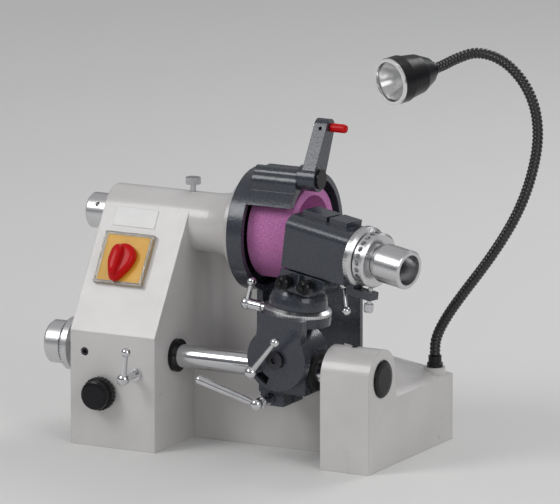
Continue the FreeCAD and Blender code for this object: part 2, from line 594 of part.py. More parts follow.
def wheel_guard():
    """The guard: a drum round the wheel, a bridge block for the dresser and a plate down to the deck."""
    drum = tube_x(GUARD_LEFT, GUARD_RIGHT, 0, SPINDLE_HEIGHT, GUARD_RADIUS, GUARD_BORE)
    side = rod_x(GUARD_LEFT, GUARD_LEFT + GUARD_SIDE, 0, SPINDLE_HEIGHT, GUARD_RADIUS)
    window_left = GUARD_LEFT + GUARD_RING
    window = box((window_left, GUARD_RIGHT + 1), (-GUARD_RADIUS - 1, 10),
                 (SPINDLE_HEIGHT - GUARD_RADIUS - 1, SPINDLE_HEIGHT + BRIDGE_BOTTOM_RISE))
    bridge_top = DRESSER_PIVOT_Z + 5
    slant = GUARD_RIGHT - 8
    bridge = prism_y([(window_left, SPINDLE_HEIGHT + BRIDGE_BOTTOM_RISE), (slant, SPINDLE_HEIGHT + BRIDGE_BOTTOM_RISE),
                      (GUARD_RIGHT, SPINDLE_HEIGHT + BRIDGE_BOTTOM_RISE + 12), (GUARD_RIGHT, bridge_top),
                      (window_left, bridge_top)], BRIDGE_FRONT_Y, 0)
    front_edges = [e for e in bridge.Edges if abs(e.CenterOfMass.y - BRIDGE_FRONT_Y) < 0.1
                   and abs(e.CenterOfMass.z - bridge_top) < 0.1]
    bridge = bridge.makeFillet(12, front_edges)
    boss = rod_x(window_left, GUARD_RIGHT, DRESSER_PIVOT_Y, DRESSER_PIVOT_Z, 9)
    plate_right = GUARD_RIGHT + GUARD_PLATE_REACH
    plate_in = GUARD_RADIUS - GUARD_WALL
    plate = prism_y([(GUARD_LEFT, DECK_HEIGHT), (plate_right, DECK_HEIGHT), (plate_right, SPINDLE_HEIGHT - 32),
                     (GUARD_RIGHT, SPINDLE_HEIGHT), (GUARD_LEFT, SPINDLE_HEIGHT)], plate_in, GUARD_RADIUS)
    cheek = box((GUARD_LEFT, GUARD_LEFT + GUARD_SIDE), (4, GUARD_RADIUS), (DECK_HEIGHT, SPINDLE_HEIGHT))
    guard = fused([drum.cut(window), side, bridge, boss, plate, cheek])
    hollow = rod_x(GUARD_LEFT + GUARD_SIDE, GUARD_RIGHT + 1, 0, SPINDLE_HEIGHT, GUARD_BORE)
    holes = [hollow, rod_x(GUARD_LEFT - 1, GUARD_LEFT + GUARD_SIDE + 1, 0, SPINDLE_HEIGHT, QUILL_RADIUS + 0.5),
             rod_x(window_left + 15, GUARD_RIGHT + 1, DRESSER_PIVOT_Y, DRESSER_PIVOT_Z, DRESSER_PIN_RADIUS)]
    return guard.cut(fused(holes)).removeSplitter()


def dresser_pin():
    """The dresser arm's hinge pin with its flat black head."""
    start = GUARD_LEFT + GUARD_RING + 15
    head_left = DRESSER_ARM_RIGHT + CLEAR
    pin = rod_x(start, head_left, DRESSER_PIVOT_Y, DRESSER_PIVOT_Z, DRESSER_PIN_RADIUS)
    return pin.fuse(rod_x(head_left, head_left + 2.5, DRESSER_PIVOT_Y, DRESSER_PIVOT_Z, 10.5))


DRESSER_TIP_Y = DRESSER_PIVOT_Y + DRESSER_ARM_LENGTH * math.sin(math.radians(DRESSER_ARM_LEAN))
DRESSER_TIP_Z = DRESSER_PIVOT_Z + DRESSER_ARM_LENGTH * math.cos(math.radians(DRESSER_ARM_LEAN))


def dresser_arm():
    """The swinging arm that carries the wheel dresser."""
    left = GUARD_RIGHT + CLEAR
    hub = rod_x(left, DRESSER_ARM_RIGHT, DRESSER_PIVOT_Y, DRESSER_PIVOT_Z, DRESSER_HUB_RADIUS)
    link = link_x((DRESSER_PIVOT_Y, DRESSER_PIVOT_Z), DRESSER_HUB_RADIUS - 0.5, (DRESSER_TIP_Y, DRESSER_TIP_Z), 9,
                  DRESSER_ARM_LEFT, DRESSER_ARM_RIGHT - 1)
    pin_hole = rod_x(left - 1, DRESSER_ARM_RIGHT + 1, DRESSER_PIVOT_Y, DRESSER_PIVOT_Z, DRESSER_PIN_RADIUS + RUNNING)
    rod_hole = rod_x(left - 1, DRESSER_ARM_RIGHT + 1, DRESSER_TIP_Y, DRESSER_TIP_Z, DRESSER_ROD_RADIUS + RUNNING)
    set_hole = rod_y(DRESSER_TIP_Y - 12, DRESSER_TIP_Y - 4, (DRESSER_ARM_LEFT + DRESSER_ARM_RIGHT) / 2, DRESSER_TIP_Z, 1.8)
    return hub.fuse(link).cut(fused([pin_hole, rod_hole, set_hole])).removeSplitter()


def dresser_rod():
    """The diamond dresser's rod, with a pointed tip towards the wheel."""
    tip = WHEEL_FACE + 1.5
    profile = [(tip, 0), (tip + 2, DRESSER_ROD_RADIUS), (DRESSER_ARM_RIGHT + 4, DRESSER_ROD_RADIUS), (DRESSER_ARM_RIGHT + 4, 0)]
    return turned(profile, V(0, DRESSER_TIP_Y, DRESSER_TIP_Z), V(1, 0, 0))


def dresser_cap():
    """The red cap on the dresser rod."""
    start = DRESSER_ARM_RIGHT - 1 + CLEAR
    end = start + 19
    profile = [(start, DRESSER_ROD_RADIUS), (start, 4.2), (start + 1, 4.7), (end - 2.5, 4.7), (end - 0.7, 3.6), (end, 1.8), (end, 0)]
    profile += [(DRESSER_ARM_RIGHT + 4, 0), (DRESSER_ARM_RIGHT + 4, DRESSER_ROD_RADIUS)]
    return turned(profile, V(0, DRESSER_TIP_Y, DRESSER_TIP_Z), V(1, 0, 0))


def switch_frame():
    """The clear square frame of the switch."""
    s = SWITCH_SIZE / 2
    frame = box((-s, s), (-s, s), (0, 6)).cut(box((-s + 3, s - 3), (-s + 3, s - 3), (-1, 7)))
    return on_slope(frame, SWITCH_X, SWITCH_UP_SLOPE)


def switch_plate():
    """The yellow plate behind the switch handle, with its four screw heads sunk in."""
    s = SWITCH_SIZE / 2 - 3.2
    plate = box((-s, s), (-s, s), (0, 4)).cut(rod_z(-1, 5, 0, 0, 6))
    return on_slope(plate, SWITCH_X, SWITCH_UP_SLOPE)


def switch_block():
    """The contact block behind the switch."""
    block = box((-20, 20), (-20, 20), (-38, -0.2)).cut(rod_z(-20, 1, 0, 0, 4.05))
    return on_slope(block, SWITCH_X, SWITCH_UP_SLOPE)


def switch_handle():
    """The red teardrop handle with its raised grip and spindle."""
    disc = rod_z(4.5, 9, 0, 0, 15)
    grip = [V(-9, 14, 9), V(9, 14, 9), V(7, -22, 9), V(0, -27, 9), V(-7, -22, 9)]
    bar = Part.Face(Part.makePolygon(grip + grip[:1])).extrude(V(0, 0, 13))
    handle = fused([disc, bar, rod_z(-14, 5, 0, 0, 4)])
    handle.rotate(V(0, 0, 0), V(0, 0, 1), -8)
    return on_slope(handle, SWITCH_X, SWITCH_UP_SLOPE)


def label_plate():
    """The bare white plate above the switch."""
    w, h = LABEL_SIZE
    return on_slope(box((-w / 2, w / 2), (-h / 2, h / 2), (0, 0.6)), LABEL_X, LABEL_UP_SLOPE)


def front_lever():
    """The lever that clamps the bar, at the lower front of the column."""
    seat = V(LEFT + FRONT_LEVER_X, FRONT + WALL, FRONT_LEVER_HEIGHT)
    lever = ball_lever(seat, V(0, -WALL - 28, 0), V(5, -3, 30))
    return lever.fuse(rod_y(FRONT - 4, FRONT - CLEAR, seat.x, seat.z, 6.5))


def stop_knob():
    """The black fluted knob on the column's front."""
    x, z = LEFT + STOP_KNOB_X, STOP_KNOB_HEIGHT
    knob = rod_y(FRONT - 20, FRONT - 2, x, z, STOP_KNOB_RADIUS)
    for i in range(STOP_KNOB_FLUTES):
        a = 2 * math.pi * i / STOP_KNOB_FLUTES
        reach = STOP_KNOB_RADIUS + 1.2
        knob = knob.cut(rod_y(FRONT - 21, FRONT - 1, x + reach * math.cos(a), z + reach * math.sin(a), 2.6))
    dish = rod_y(FRONT - 21, FRONT - 17, x, z, STOP_KNOB_RADIUS - 7)
    return fused([knob.cut(dish), rod_y(FRONT - 18, FRONT - 16, x, z, 6), rod_y(FRONT - 2, FRONT + 14, x, z, 5)])


def bar_bushes():
    """The black bush in the column's side and the bush in the right-hand support."""
    outer = BAR_RADIUS + BUSH_WALL
    bore = BAR_RADIUS + RUNNING
    bush = tube_x(COLUMN_RIGHT - 22, COLUMN_RIGHT, BAR_Y, BAR_HEIGHT, outer, bore)
    rim = tube_x(COLUMN_RIGHT, COLUMN_RIGHT + 5, BAR_Y, BAR_HEIGHT, outer + 1.5, bore)
    plain = tube_x(SUPPORT_LEFT, RIGHT - 6, BAR_Y, BAR_HEIGHT, outer, bore)
    return Part.makeCompound([bush.fuse(rim).removeSplitter(), plain])


def end_cap():
    """The black cap over the support's outer end."""
    profile = [(RIGHT - 3.8, 0), (RIGHT - 3.8, 19.8), (RIGHT + 1, 19.8), (RIGHT + 2.2, 18.5), (RIGHT + 3, 14), (RIGHT + 3, 0)]
    return turned(profile, V(0, BAR_Y, BAR_HEIGHT), V(1, 0, 0))


def support_screw():
    """The grub screw on top of the support."""
    x = SUPPORT_LEFT + 25
    start = BAR_HEIGHT + BAR_RADIUS + BUSH_WALL
    screw = rod_z(start, BAR_HEIGHT + SUPPORT_RADIUS + 1.5, x, BAR_Y, 2.9)
    return screw.cut(rod_z(BAR_HEIGHT + SUPPORT_RADIUS - 2, BAR_HEIGHT + SUPPORT_RADIUS + 2, x, BAR_Y, 1.3))


BAR_LEFT = COLUMN_RIGHT - 48
BAR_RIGHT = RIGHT - 6 - BAR_TRAVEL
SCREW_HEAD_LEFT = BAR_LEFT - 6


def guide_bar():
    """The polished bar, with a socket in its left end for the feed screw's head."""
    bar = rod_x(BAR_LEFT, BAR_RIGHT, BAR_Y, BAR_HEIGHT, BAR_RADIUS)
    return bar.cut(rod_x(BAR_LEFT - 1, BAR_LEFT + 8, BAR_Y, BAR_HEIGHT, 9))


def bar_feed_screw():
    """The feed screw that pushes the bar, its head held in the bar's end."""
    shank = rod_x(LEFT - FEED_NECK_LENGTH - 3 - HANDWHEEL_LENGTH / 2, BAR_LEFT, BAR_Y, BAR_HEIGHT, FEED_SCREW_RADIUS)
    return shank.fuse(rod_x(BAR_LEFT, BAR_LEFT + 7.7, BAR_Y, BAR_HEIGHT, 9 - RUNNING)).removeSplitter()


def feed_neck():
    """The fixed neck between the column and the bar feed handwheel."""
    end = LEFT - FEED_NECK_LENGTH + 9
    neck = rod_x(end, LEFT, BAR_Y, BAR_HEIGHT, FEED_NECK_RADIUS)
    neck = neck.fuse(rod_x(LEFT, LEFT + WALL, BAR_Y, BAR_HEIGHT, FEED_SCREW_RADIUS + 2.9))
    return neck.cut(rod_x(end - 1, LEFT + WALL + 1, BAR_Y, BAR_HEIGHT, FEED_SCREW_RADIUS + RUNNING))


def feed_handwheel():
    """The drum that turns the bar feed, with its graduated collar."""
    right = LEFT - FEED_NECK_LENGTH + 9 - CLEAR
    collar = right - 9
    groove = collar - 3
    left = groove - HANDWHEEL_LENGTH
    r = HANDWHEEL_RADIUS
    profile = [(left, 0), (left, r - 5), (left + 2, r - 1.5), (left + 4, r), (groove, r), (groove, r - 5), (collar, r - 5)]
    profile += [(collar, FEED_DIAL_RADIUS - 2), (collar + 2, FEED_DIAL_RADIUS), (right, FEED_DIAL_RADIUS)]
    profile += [(right, FEED_SCREW_RADIUS + RUNNING), (left + 6, FEED_SCREW_RADIUS + RUNNING), (left + 6, 0)]
    return turned(profile, V(0, BAR_Y, BAR_HEIGHT), V(1, 0, 0))


def slide_block():
    """The split block that rides on the bar and carries the tilt bracket."""
    x = (PIVOT_X - BLOCK_HALF_LENGTH, PIVOT_X + BLOCK_HALF_LENGTH)
    y = (BLOCK_FRONT, BLOCK_BACK)
    bottom = BAR_HEIGHT - BLOCK_DROP
    body = box(x, y, (bottom, PIVOT_Z)).fuse(rod_y(y[0], y[1], PIVOT_X, PIVOT_Z, BLOCK_HALF_LENGTH))
    ear = box((x[0], PIVOT_X), (BLOCK_FRONT + 4, BLOCK_BACK - 4), (bottom - CLAMP_EAR_DROP, bottom + 1))
    block = body.fuse(ear).removeSplitter()
    stud_end = BAR_Y - BAR_RADIUS - 3
    cuts = [
        rod_x(x[0] - 1, x[1] + 1, BAR_Y, BAR_HEIGHT, BAR_RADIUS + RUNNING),
        box((x[0] - 1, x[1] + 1), (BAR_Y - SLIT_WIDTH / 2, BAR_Y + SLIT_WIDTH / 2), (0, BAR_HEIGHT)),
        rod_y(BLOCK_FRONT - 1, stud_end, PIVOT_X, PIVOT_Z, 6),
        rod_y(BLOCK_FRONT - 1, stud_end, PIVOT_X + TILT_STUD_X, PIVOT_Z + TILT_STUD_Z, 4 + RUNNING),
        rod_y(BLOCK_FRONT, BLOCK_BACK - 12, x[0] + 11, bottom - CLAMP_EAR_DROP / 2, 4 + RUNNING),
    ]
    return block.cut(fused(cuts)).removeSplitter()


def bar_wipers():
    """Black wiper rings at the two ends of the slide block."""
    ends = (PIVOT_X - BLOCK_HALF_LENGTH - 4, PIVOT_X + BLOCK_HALF_LENGTH)
    return Part.makeCompound([tube_x(x, x + 4, BAR_Y, BAR_HEIGHT, BAR_RADIUS + 7, BAR_RADIUS + CLEAR) for x in ends])


def bar_clamp_lever():
    """The long lever that closes the slide block on the bar."""
    x = PIVOT_X - BLOCK_HALF_LENGTH + 11
    z = BAR_HEIGHT - BLOCK_DROP - CLAMP_EAR_DROP / 2
    seat = V(x, BLOCK_BACK - 12, z)
    hub = V(x, BLOCK_FRONT - 26, z)
    arm = V(-65, -4, 20)
    grip = Part.makeCone(3.4, 5, arm.Length, hub, arm)
    stem = Part.makeCylinder(4, (hub - seat).Length, seat, hub - seat)
    collar = rod_y(BLOCK_FRONT - 16, BLOCK_FRONT + 3, x, z, 6)
    return fused([stem, collar, Part.makeSphere(6.8, hub), grip, Part.makeSphere(5, hub + arm)])


def tilt_lever():
    """The lever that clamps the tilt bracket through its arc slot."""
    x, z = PIVOT_X + TILT_STUD_X, PIVOT_Z + TILT_STUD_Z
    seat = V(x, BAR_Y - BAR_RADIUS - 4, z)
    hub_y = DISC_FRONT - 14
    lever = ball_lever(seat, V(0, hub_y - seat.y, 0), V(33, -9, 37))
    return lever.fuse(rod_y(hub_y, DISC_FRONT - CLEAR, x, z, 6))


def tilt_pivot():
    """The screw that the tilt bracket turns on."""
    shank = rod_y(DISC_FRONT - CLEAR, BAR_Y - BAR_RADIUS - 4, PIVOT_X, PIVOT_Z, 6)
    head = rod_y(DISC_FRONT - 5, DISC_FRONT - CLEAR, PIVOT_X, PIVOT_Z, 9.5)
    return head.fuse(shank).cut(rod_y(DISC_FRONT - 6, DISC_FRONT - 2, PIVOT_X, PIVOT_Z, 3.5))


def tilt_slot():
    """The arc slot round the tilt pivot for the clamp stud."""
    reach = math.hypot(TILT_STUD_X, TILT_STUD_Z)
    half = 4 + CLEAR
    length = TILT_DISC_THICKNESS + 2
    sector = Part.makeCylinder(reach + half, length, V(0, 0, 0), V(0, 0, 1), TILT_SLOT_SWEEP)
    sector = sector.cut(Part.makeCylinder(reach - half, length, V(0, 0, 0), V(0, 0, 1)))
    sector.rotate(V(0, 0, 0), V(1, 0, 0), -90)
    stud = math.degrees(math.atan2(-TILT_STUD_Z, TILT_STUD_X))
    sector.rotate(V(0, 0, 0), V(0, 1, 0), stud + 11 - TILT_SLOT_SWEEP)
    sector.translate(V(PIVOT_X, DISC_FRONT - 1, PIVOT_Z))
    return sector


def tilt_bracket():
    """The bracket in front of the slide block, with the platform over it."""
    disc = rod_y(DISC_FRONT, DISC_BACK, PIVOT_X, PIVOT_Z, TILT_DISC_RADIUS)
    underside = PIVOT_Z + PLATFORM_RISE
    web = box((PIVOT_X - 26, PIVOT_X + 26), (DISC_FRONT, DISC_BACK), (PIVOT_Z, PLATFORM_TOP))
    platform = rod_z(underside, PLATFORM_TOP, PIVOT_X, BAR_Y, PLATFORM_RADIUS)
    bracket = on_tilt(fused([disc, web, platform]))
    lever_z = underside + PLATFORM_THICKNESS / 2
    cuts = [
        rod_y(DISC_FRONT - 1, DISC_BACK + 1, PIVOT_X, PIVOT_Z, 6 + RUNNING),
        tilt_slot(),
        on_tilt(rod_z(underside - 1, PLATFORM_TOP + 1, PIVOT_X, BAR_Y, SWIVEL_PIN_RADIUS + RUNNING)),
        on_tilt(rod_x(PIVOT_X - PLATFORM_RADIUS - 1, PIVOT_X - 20, BAR_Y, lever_z, 4 + RUNNING)),
    ]
    return bracket.cut(fused(cuts)).removeSplitter()


def swivel_ring():
    """The bright graduated ring under the workhead."""
    r = PLATFORM_RADIUS - 0.5
    profile = [(PLATFORM_TOP, SWIVEL_PIN_RADIUS + RUNNING), (PLATFORM_TOP, r), (SWIVEL_TOP - 2.5, r), (SWIVEL_TOP, r - 4)]
    profile += [(SWIVEL_TOP, SWIVEL_PIN_RADIUS + RUNNING)]
    return on_tilt(turned(profile, V(PIVOT_X, BAR_Y, 0), V(0, 0, 1)))


def swivel_lever():
    """The lever that clamps the swivel, on the platform's left."""
    z = PLATFORM_TOP - PLATFORM_THICKNESS / 2
    seat = V(PIVOT_X - 21, BAR_Y, z)
    hub_x = PIVOT_X - PLATFORM_RADIUS - 24
    lever = ball_lever(seat, V(hub_x - seat.x, 0, 0), V(3, 0, 24))
    return on_tilt(lever.fuse(rod_x(hub_x, PIVOT_X - PLATFORM_RADIUS - 6, BAR_Y, z, 5.5)))


def head_saddle():
    """The saddle: a dome on the swivel ring, a block over it and a tongue that guides the head."""
    left, right = HEAD_LEFT, HEAD_LEFT + SADDLE_LENGTH
    y = (BAR_Y - HEAD_HALF_WIDTH, BAR_Y + HEAD_HALF_WIDTH)
    block = prism_y([(left, SADDLE_TOP), (left, SADDLE_BOTTOM + 6), (left + 14, SADDLE_BOTTOM), (right - 18, SADDLE_BOTTOM),
                     (right, SADDLE_TOP - 9), (right, SADDLE_TOP)], y[0], y[1])
    base = SWIVEL_TOP + CLEAR
    dome_top = SADDLE_BOTTOM + 1
    steps = [i / 6 for i in range(7)]
    profile = [(base, 0)] + [(base + (dome_top - base) * math.sin(t * math.pi / 2),
                              DOME_RADIUS - 9 * (1 - math.cos(t * math.pi / 2))) for t in steps] + [(dome_top, 0)]
    dome = turned(profile, V(PIVOT_X, BAR_Y, 0), V(0, 0, 1))
    pin = rod_z(PIVOT_Z + PLATFORM_RISE, base + 1, PIVOT_X, BAR_Y, SWIVEL_PIN_RADIUS)
    tongue = box((left + 2, right - 2), (BAR_Y - TONGUE_HALF_WIDTH, BAR_Y + TONGUE_HALF_WIDTH),
                 (SADDLE_TOP - 1, SADDLE_TOP + TONGUE_HEIGHT))
    stop_x = left + 28
    lug = box((stop_x - 3, stop_x + 3), (y[0] - 6, y[0] + 1), (SADDLE_BOTTOM + 4, SADDLE_BOTTOM + 10))
    stop = rod_z(SADDLE_BOTTOM + 2, SADDLE_TOP + 1, stop_x, y[0] - 3.5, 1.8)
    saddle = fused([block, dome, pin, tongue, lug, stop])
    cuts = [rod_y(y[0] - 1, y[0] + 12, x, z, 3 + RUNNING) for x, z in saddle_knob_places()]
    latch_x, latch_z = right, SADDLE_TOP - 5
    cuts.append(rod_x(latch_x - 12, latch_x + 1, BAR_Y, latch_z, 3 + RUNNING))
    return on_swivel(saddle.cut(fused(cuts)).removeSplitter())


def saddle_knob_places():
    """The two clamp knobs on the saddle's front, as (x, z)."""
    z = (SADDLE_TOP + SADDLE_BOTTOM) / 2 - 1
    return [(HEAD_LEFT + 13, z + 1), (HEAD_LEFT + 42, z + 3)]


def saddle_knob(place):
    """A black clamp knob with a ball tip."""
    x, z = place
    face = BAR_Y - HEAD_HALF_WIDTH
    profile = [(-11, 0), (-11, 3), (CLEAR, 3), (CLEAR, 6), (4, 6), (4, 7.5), (13, 8), (15, 6.5), (16, 4), (20, 4), (22, 2.5), (22, 0)]
    return on_swivel(turned(profile, V(x, face, z), V(0, -1, 0)))


def latch_lever():
    """The chrome ball lever at the right end of the saddle."""
    seat = V(HEAD_LEFT + SADDLE_LENGTH - 11, BAR_Y, SADDLE_TOP - 5)
    return on_swivel(ball_lever(seat, V(17, 0, 0), V(12, -6, -25), 3.0, 4.5))


def head_casting():
    """The workhead: a bored block with rounded shoulders, a slotted rib and the index bracket."""
    y = (BAR_Y - HEAD_HALF_WIDTH, BAR_Y + HEAD_HALF_WIDTH)
    block = box((HEAD_LEFT, HEAD_RIGHT), y, (HEAD_BOTTOM, HEAD_AXIS + HEAD_DEPTH_ABOVE))
    shoulders = [e for e in block.Edges if abs(e.CenterOfMass.z - HEAD_AXIS - HEAD_DEPTH_ABOVE) < 0.1
                 and abs(e.CenterOfMass.y - BAR_Y) > 1]
    block = block.makeFillet(HEAD_EDGE_RADIUS, shoulders)
    rib = box((HEAD_LEFT + 10, HEAD_RIGHT - 14), (BAR_Y - 12, BAR_Y + 13),
              (HEAD_AXIS + HEAD_DEPTH_ABOVE - 1, HEAD_AXIS + HEAD_DEPTH_ABOVE + RIB_HEIGHT))
    slot_x = HEAD_LEFT + 42
    rib = rib.cut(box((slot_x, slot_x + 4), (BAR_Y - 20, BAR_Y + 20), (HEAD_AXIS + HEAD_DEPTH_ABOVE, HEAD_AXIS + 60)))
    arm_top = HEAD_AXIS - SCALE_COLLAR_RADIUS - 3
    arm = box((HEAD_RIGHT - 10, RING_LEFT + INDEX_RING_WIDTH - 2), (BAR_Y - 7, BAR_Y + 7), (arm_top - 8, arm_top))
    root = box((HEAD_RIGHT - 10, HEAD_RIGHT), (BAR_Y - 7, BAR_Y + 7), (arm_top - 8, HEAD_BOTTOM + 2))
    head = fused([block, rib, arm, root])
    half = TONGUE_HALF_WIDTH + CLEAR
    cuts = [
        rod_x(HEAD_LEFT - 1, HEAD_RIGHT + 1, BAR_Y, HEAD_AXIS, WORK_SPINDLE_RADIUS + RUNNING),
        box((HEAD_LEFT - 1, HEAD_RIGHT - 10), (BAR_Y - half, BAR_Y + half), (HEAD_BOTTOM - 1, SADDLE_TOP + TONGUE_HEIGHT + CLEAR)),
        rod_z(arm_top - 9, arm_top + 1, index_pin_x(), BAR_Y, 2.5 + RUNNING),
    ]
    return on_swivel(head.cut(fused(cuts)).removeSplitter())


def index_pin_x():
    """The index pin's place, under the middle of the index ring."""
    return RING_LEFT + INDEX_RING_WIDTH / 2


def scale_collar():
    """The graduated collar fixed at the rear of the head."""
    r = SCALE_COLLAR_RADIUS
    profile = [(HEAD_RIGHT, WORK_SPINDLE_RADIUS + CLEAR), (HEAD_RIGHT, r - 1), (HEAD_RIGHT + 1, r), (COLLAR_RIGHT - 3, r)]
    profile += [(COLLAR_RIGHT, r - 3), (COLLAR_RIGHT, WORK_SPINDLE_RADIUS + CLEAR)]
    return on_swivel(turned(profile, V(0, BAR_Y, HEAD_AXIS), V(1, 0, 0)))


def work_spindle():
    """The hollow work spindle that holds the collet."""
    right = RING_RIGHT
    spindle = rod_x(WORK_SPINDLE_LEFT, right, BAR_Y, HEAD_AXIS, WORK_SPINDLE_RADIUS)
    front = rod_x(WORK_SPINDLE_LEFT - 1, WORK_SPINDLE_LEFT + 21, BAR_Y, HEAD_AXIS, COLLET_RADIUS + SEAT)
    rear = rod_x(WORK_SPINDLE_LEFT + 20, right + 1, BAR_Y, HEAD_AXIS, DRAWTUBE_RADIUS + RUNNING)
    return on_swivel(spindle.cut(front.fuse(rear)))


def index_ring():
    """The notched index ring on the work spindle."""
    r = INDEX_RING_RADIUS
    profile = [(RING_LEFT, WORK_SPINDLE_RADIUS + SEAT), (RING_LEFT, r - 2), (RING_LEFT + 2, r), (RING_RIGHT - 2, r)]
    profile += [(RING_RIGHT, r - 2), (RING_RIGHT, WORK_SPINDLE_RADIUS + SEAT)]
    ring = turned(profile, V(0, BAR_Y, HEAD_AXIS), V(1, 0, 0))
    notch = rod_z(HEAD_AXIS - r - 1, HEAD_AXIS - r + 5, index_pin_x(), BAR_Y, 2.5 + CLEAR)
    notches = []
    for i in range(INDEX_NOTCHES):
        cut = notch.copy()
        cut.rotate(V(0, BAR_Y, HEAD_AXIS), V(1, 0, 0), 360 * i / INDEX_NOTCHES)
        notches.append(cut)
    return on_swivel(ring.cut(Part.makeCompound(notches)))


def index_pin():
    """The spring pin under the index ring, parked clear of the notches."""
    arm_top = HEAD_AXIS - SCALE_COLLAR_RADIUS - 3
    top = HEAD_AXIS - INDEX_RING_RADIUS - 1
    profile = [(arm_top - 22, 0), (arm_top - 22, 4), (arm_top - 20, 5), (arm_top - 13, 5), (arm_top - 13, 2.5)]
    profile += [(top - 1, 2.5), (top, 1.8), (top, 0)]
    return on_swivel(turned(profile, V(index_pin_x(), BAR_Y, 0), V(0, 0, 1)))


def drawtube():
    """The tube that draws the collet in, with its wide open end."""
    left = WORK_SPINDLE_LEFT + 22
    start = RING_RIGHT + 0.5
    end = start + END_TUBE_LENGTH
    r = END_TUBE_RADIUS
    profile = [(left, DRAWTUBE_BORE), (left, DRAWTUBE_RADIUS), (start, DRAWTUBE_RADIUS), (start, r - 4), (start + 5, r - 4)]
    profile += [(start + 7, r), (end - 1, r), (end, r - 1), (end, END_TUBE_BORE), (end - 27, END_TUBE_BORE), (end - 30, DRAWTUBE_BORE)]
    return on_swivel(turned(profile, V(0, BAR_Y, HEAD_AXIS), V(1, 0, 0)))


def collet():
    """The split collet in the spindle's nose."""
    left = WORK_SPINDLE_LEFT - 3
    body = rod_x(left, WORK_SPINDLE_LEFT + 20, BAR_Y, HEAD_AXIS, COLLET_RADIUS)
    cuts = [rod_x(left - 1, WORK_SPINDLE_LEFT + 21, BAR_Y, HEAD_AXIS, TOOL_RADIUS + SEAT)]
    for i in range(3):
        slit = box((left - 1, left + 15), (BAR_Y - 0.4, BAR_Y + 0.4), (HEAD_AXIS, HEAD_AXIS + COLLET_RADIUS + 1))
        slit.rotate(V(0, BAR_Y, HEAD_AXIS), V(1, 0, 0), 120 * i)
        cuts.append(slit)
    return on_swivel(body.cut(fused(cuts)))


def tool_bit():
    """The round tool held for grinding."""
    tip = HEAD_LEFT - TOOL_REACH
    profile = [(tip, 0), (tip + 2.5, TOOL_RADIUS), (WORK_SPINDLE_LEFT + 20, TOOL_RADIUS), (WORK_SPINDLE_LEFT + 20, 0)]
    return on_swivel(turned(profile, V(0, BAR_Y, HEAD_AXIS), V(1, 0, 0)))


def lamp_foot():
    """The screwed foot of the lamp on its seat."""
    profile = [(-5, 0), (-5, 3.9), (0, 3.9), (0, 8.5), (4, 8.5), (5, 7.5), (5, 7), (LAMP_FOOT_HEIGHT, 7), (LAMP_FOOT_HEIGHT, 0)]
    return turned(profile, V(LAMP_X, LAMP_Y, LAMP_SEAT_HEIGHT), V(0, 0, 1))


def hose_circle(curve, share, radius):
    """A circle across the hose, a share of the way along it, turned on a steady X axis."""
    first, last = curve.FirstParameter, curve.LastParameter
    at = first + (last - first) * share
    along = V(*curve.tangent(at)[0])
    steady = V(1, -1, 0)
    across = (steady - along * steady.dot(along)).normalize()
    ring = Part.makeCircle(radius)
    spin = FreeCAD.Rotation(across, along.cross(across), along, "ZXY")
    ring.Placement = FreeCAD.Placement(V(*curve.value(at)), spin)
    return Part.Wire([ring])


def gooseneck():
    """The ribbed hose of the lamp, lofted in stretches, with its bore."""
    curve = Part.BSplineCurve()
    curve.interpolate([HOSE_START + p for p in HOSE_ROUTE])
    low = HOSE_RADIUS - HOSE_RIB
    rings = []
    for i in range(HOSE_RIBS):
        for part, radius in ((0.0, low), (0.25, HOSE_RADIUS), (0.6, HOSE_RADIUS), (0.85, low)):
            rings.append(hose_circle(curve, (i + part) / HOSE_RIBS, radius))
    rings.append(hose_circle(curve, 1.0, low))
    spine = Part.Wire([curve.toShape()])
    bore = spine.makePipeShell([hose_circle(curve, 0.0, HOSE_BORE)], True, True)
    step = 4 * HOSE_STRETCH
    pieces = [Part.makeLoft(rings[i : i + step + 1], True, True).cut(bore) for i in range(0, 4 * HOSE_RIBS, step)]
    return pieces[0].multiFuse(pieces[1:])


def lamp_piece(profile):
    """A turned piece of the lamp head, measured forward from the hose's end."""
    return turned(profile, HOSE_START + HOSE_ROUTE[-1] + LAMP_DIRECTION * LAMP_GAP, LAMP_DIRECTION)


def lamp_head():
    """The lamp's black shell, open to the front."""
    r, n = LAMP_RADIUS, LAMP_LENGTH
    return lamp_piece([(0, 0), (0, 8), (6, 9), (8, 14), (24, 21), (n - 14, r - 1), (n - 14, r), (n, r), (n, r - 2), (28, 17), (28, 0)])


def lamp_reflector():
    """The bright bowl inside the lamp, with the pale rim that shows round the mouth."""
    r, n = LAMP_RADIUS, LAMP_LENGTH
    bowl = [(28.2, 5), (n - 4, r - 3.4), (n, r - 3), (n, r), (n + 2, r - 0.5), (n + 2, r - 4), (n - 4, r - 4.6), (30, 5)]
    return lamp_piece(bowl)


def lamp_lens():
    """The clear disc over the reflector."""
    r, n = LAMP_RADIUS, LAMP_LENGTH
    return lamp_piece([(n - 3, 0), (n - 3, r - 5), (n - 1, r - 5), (n - 1, 0)])


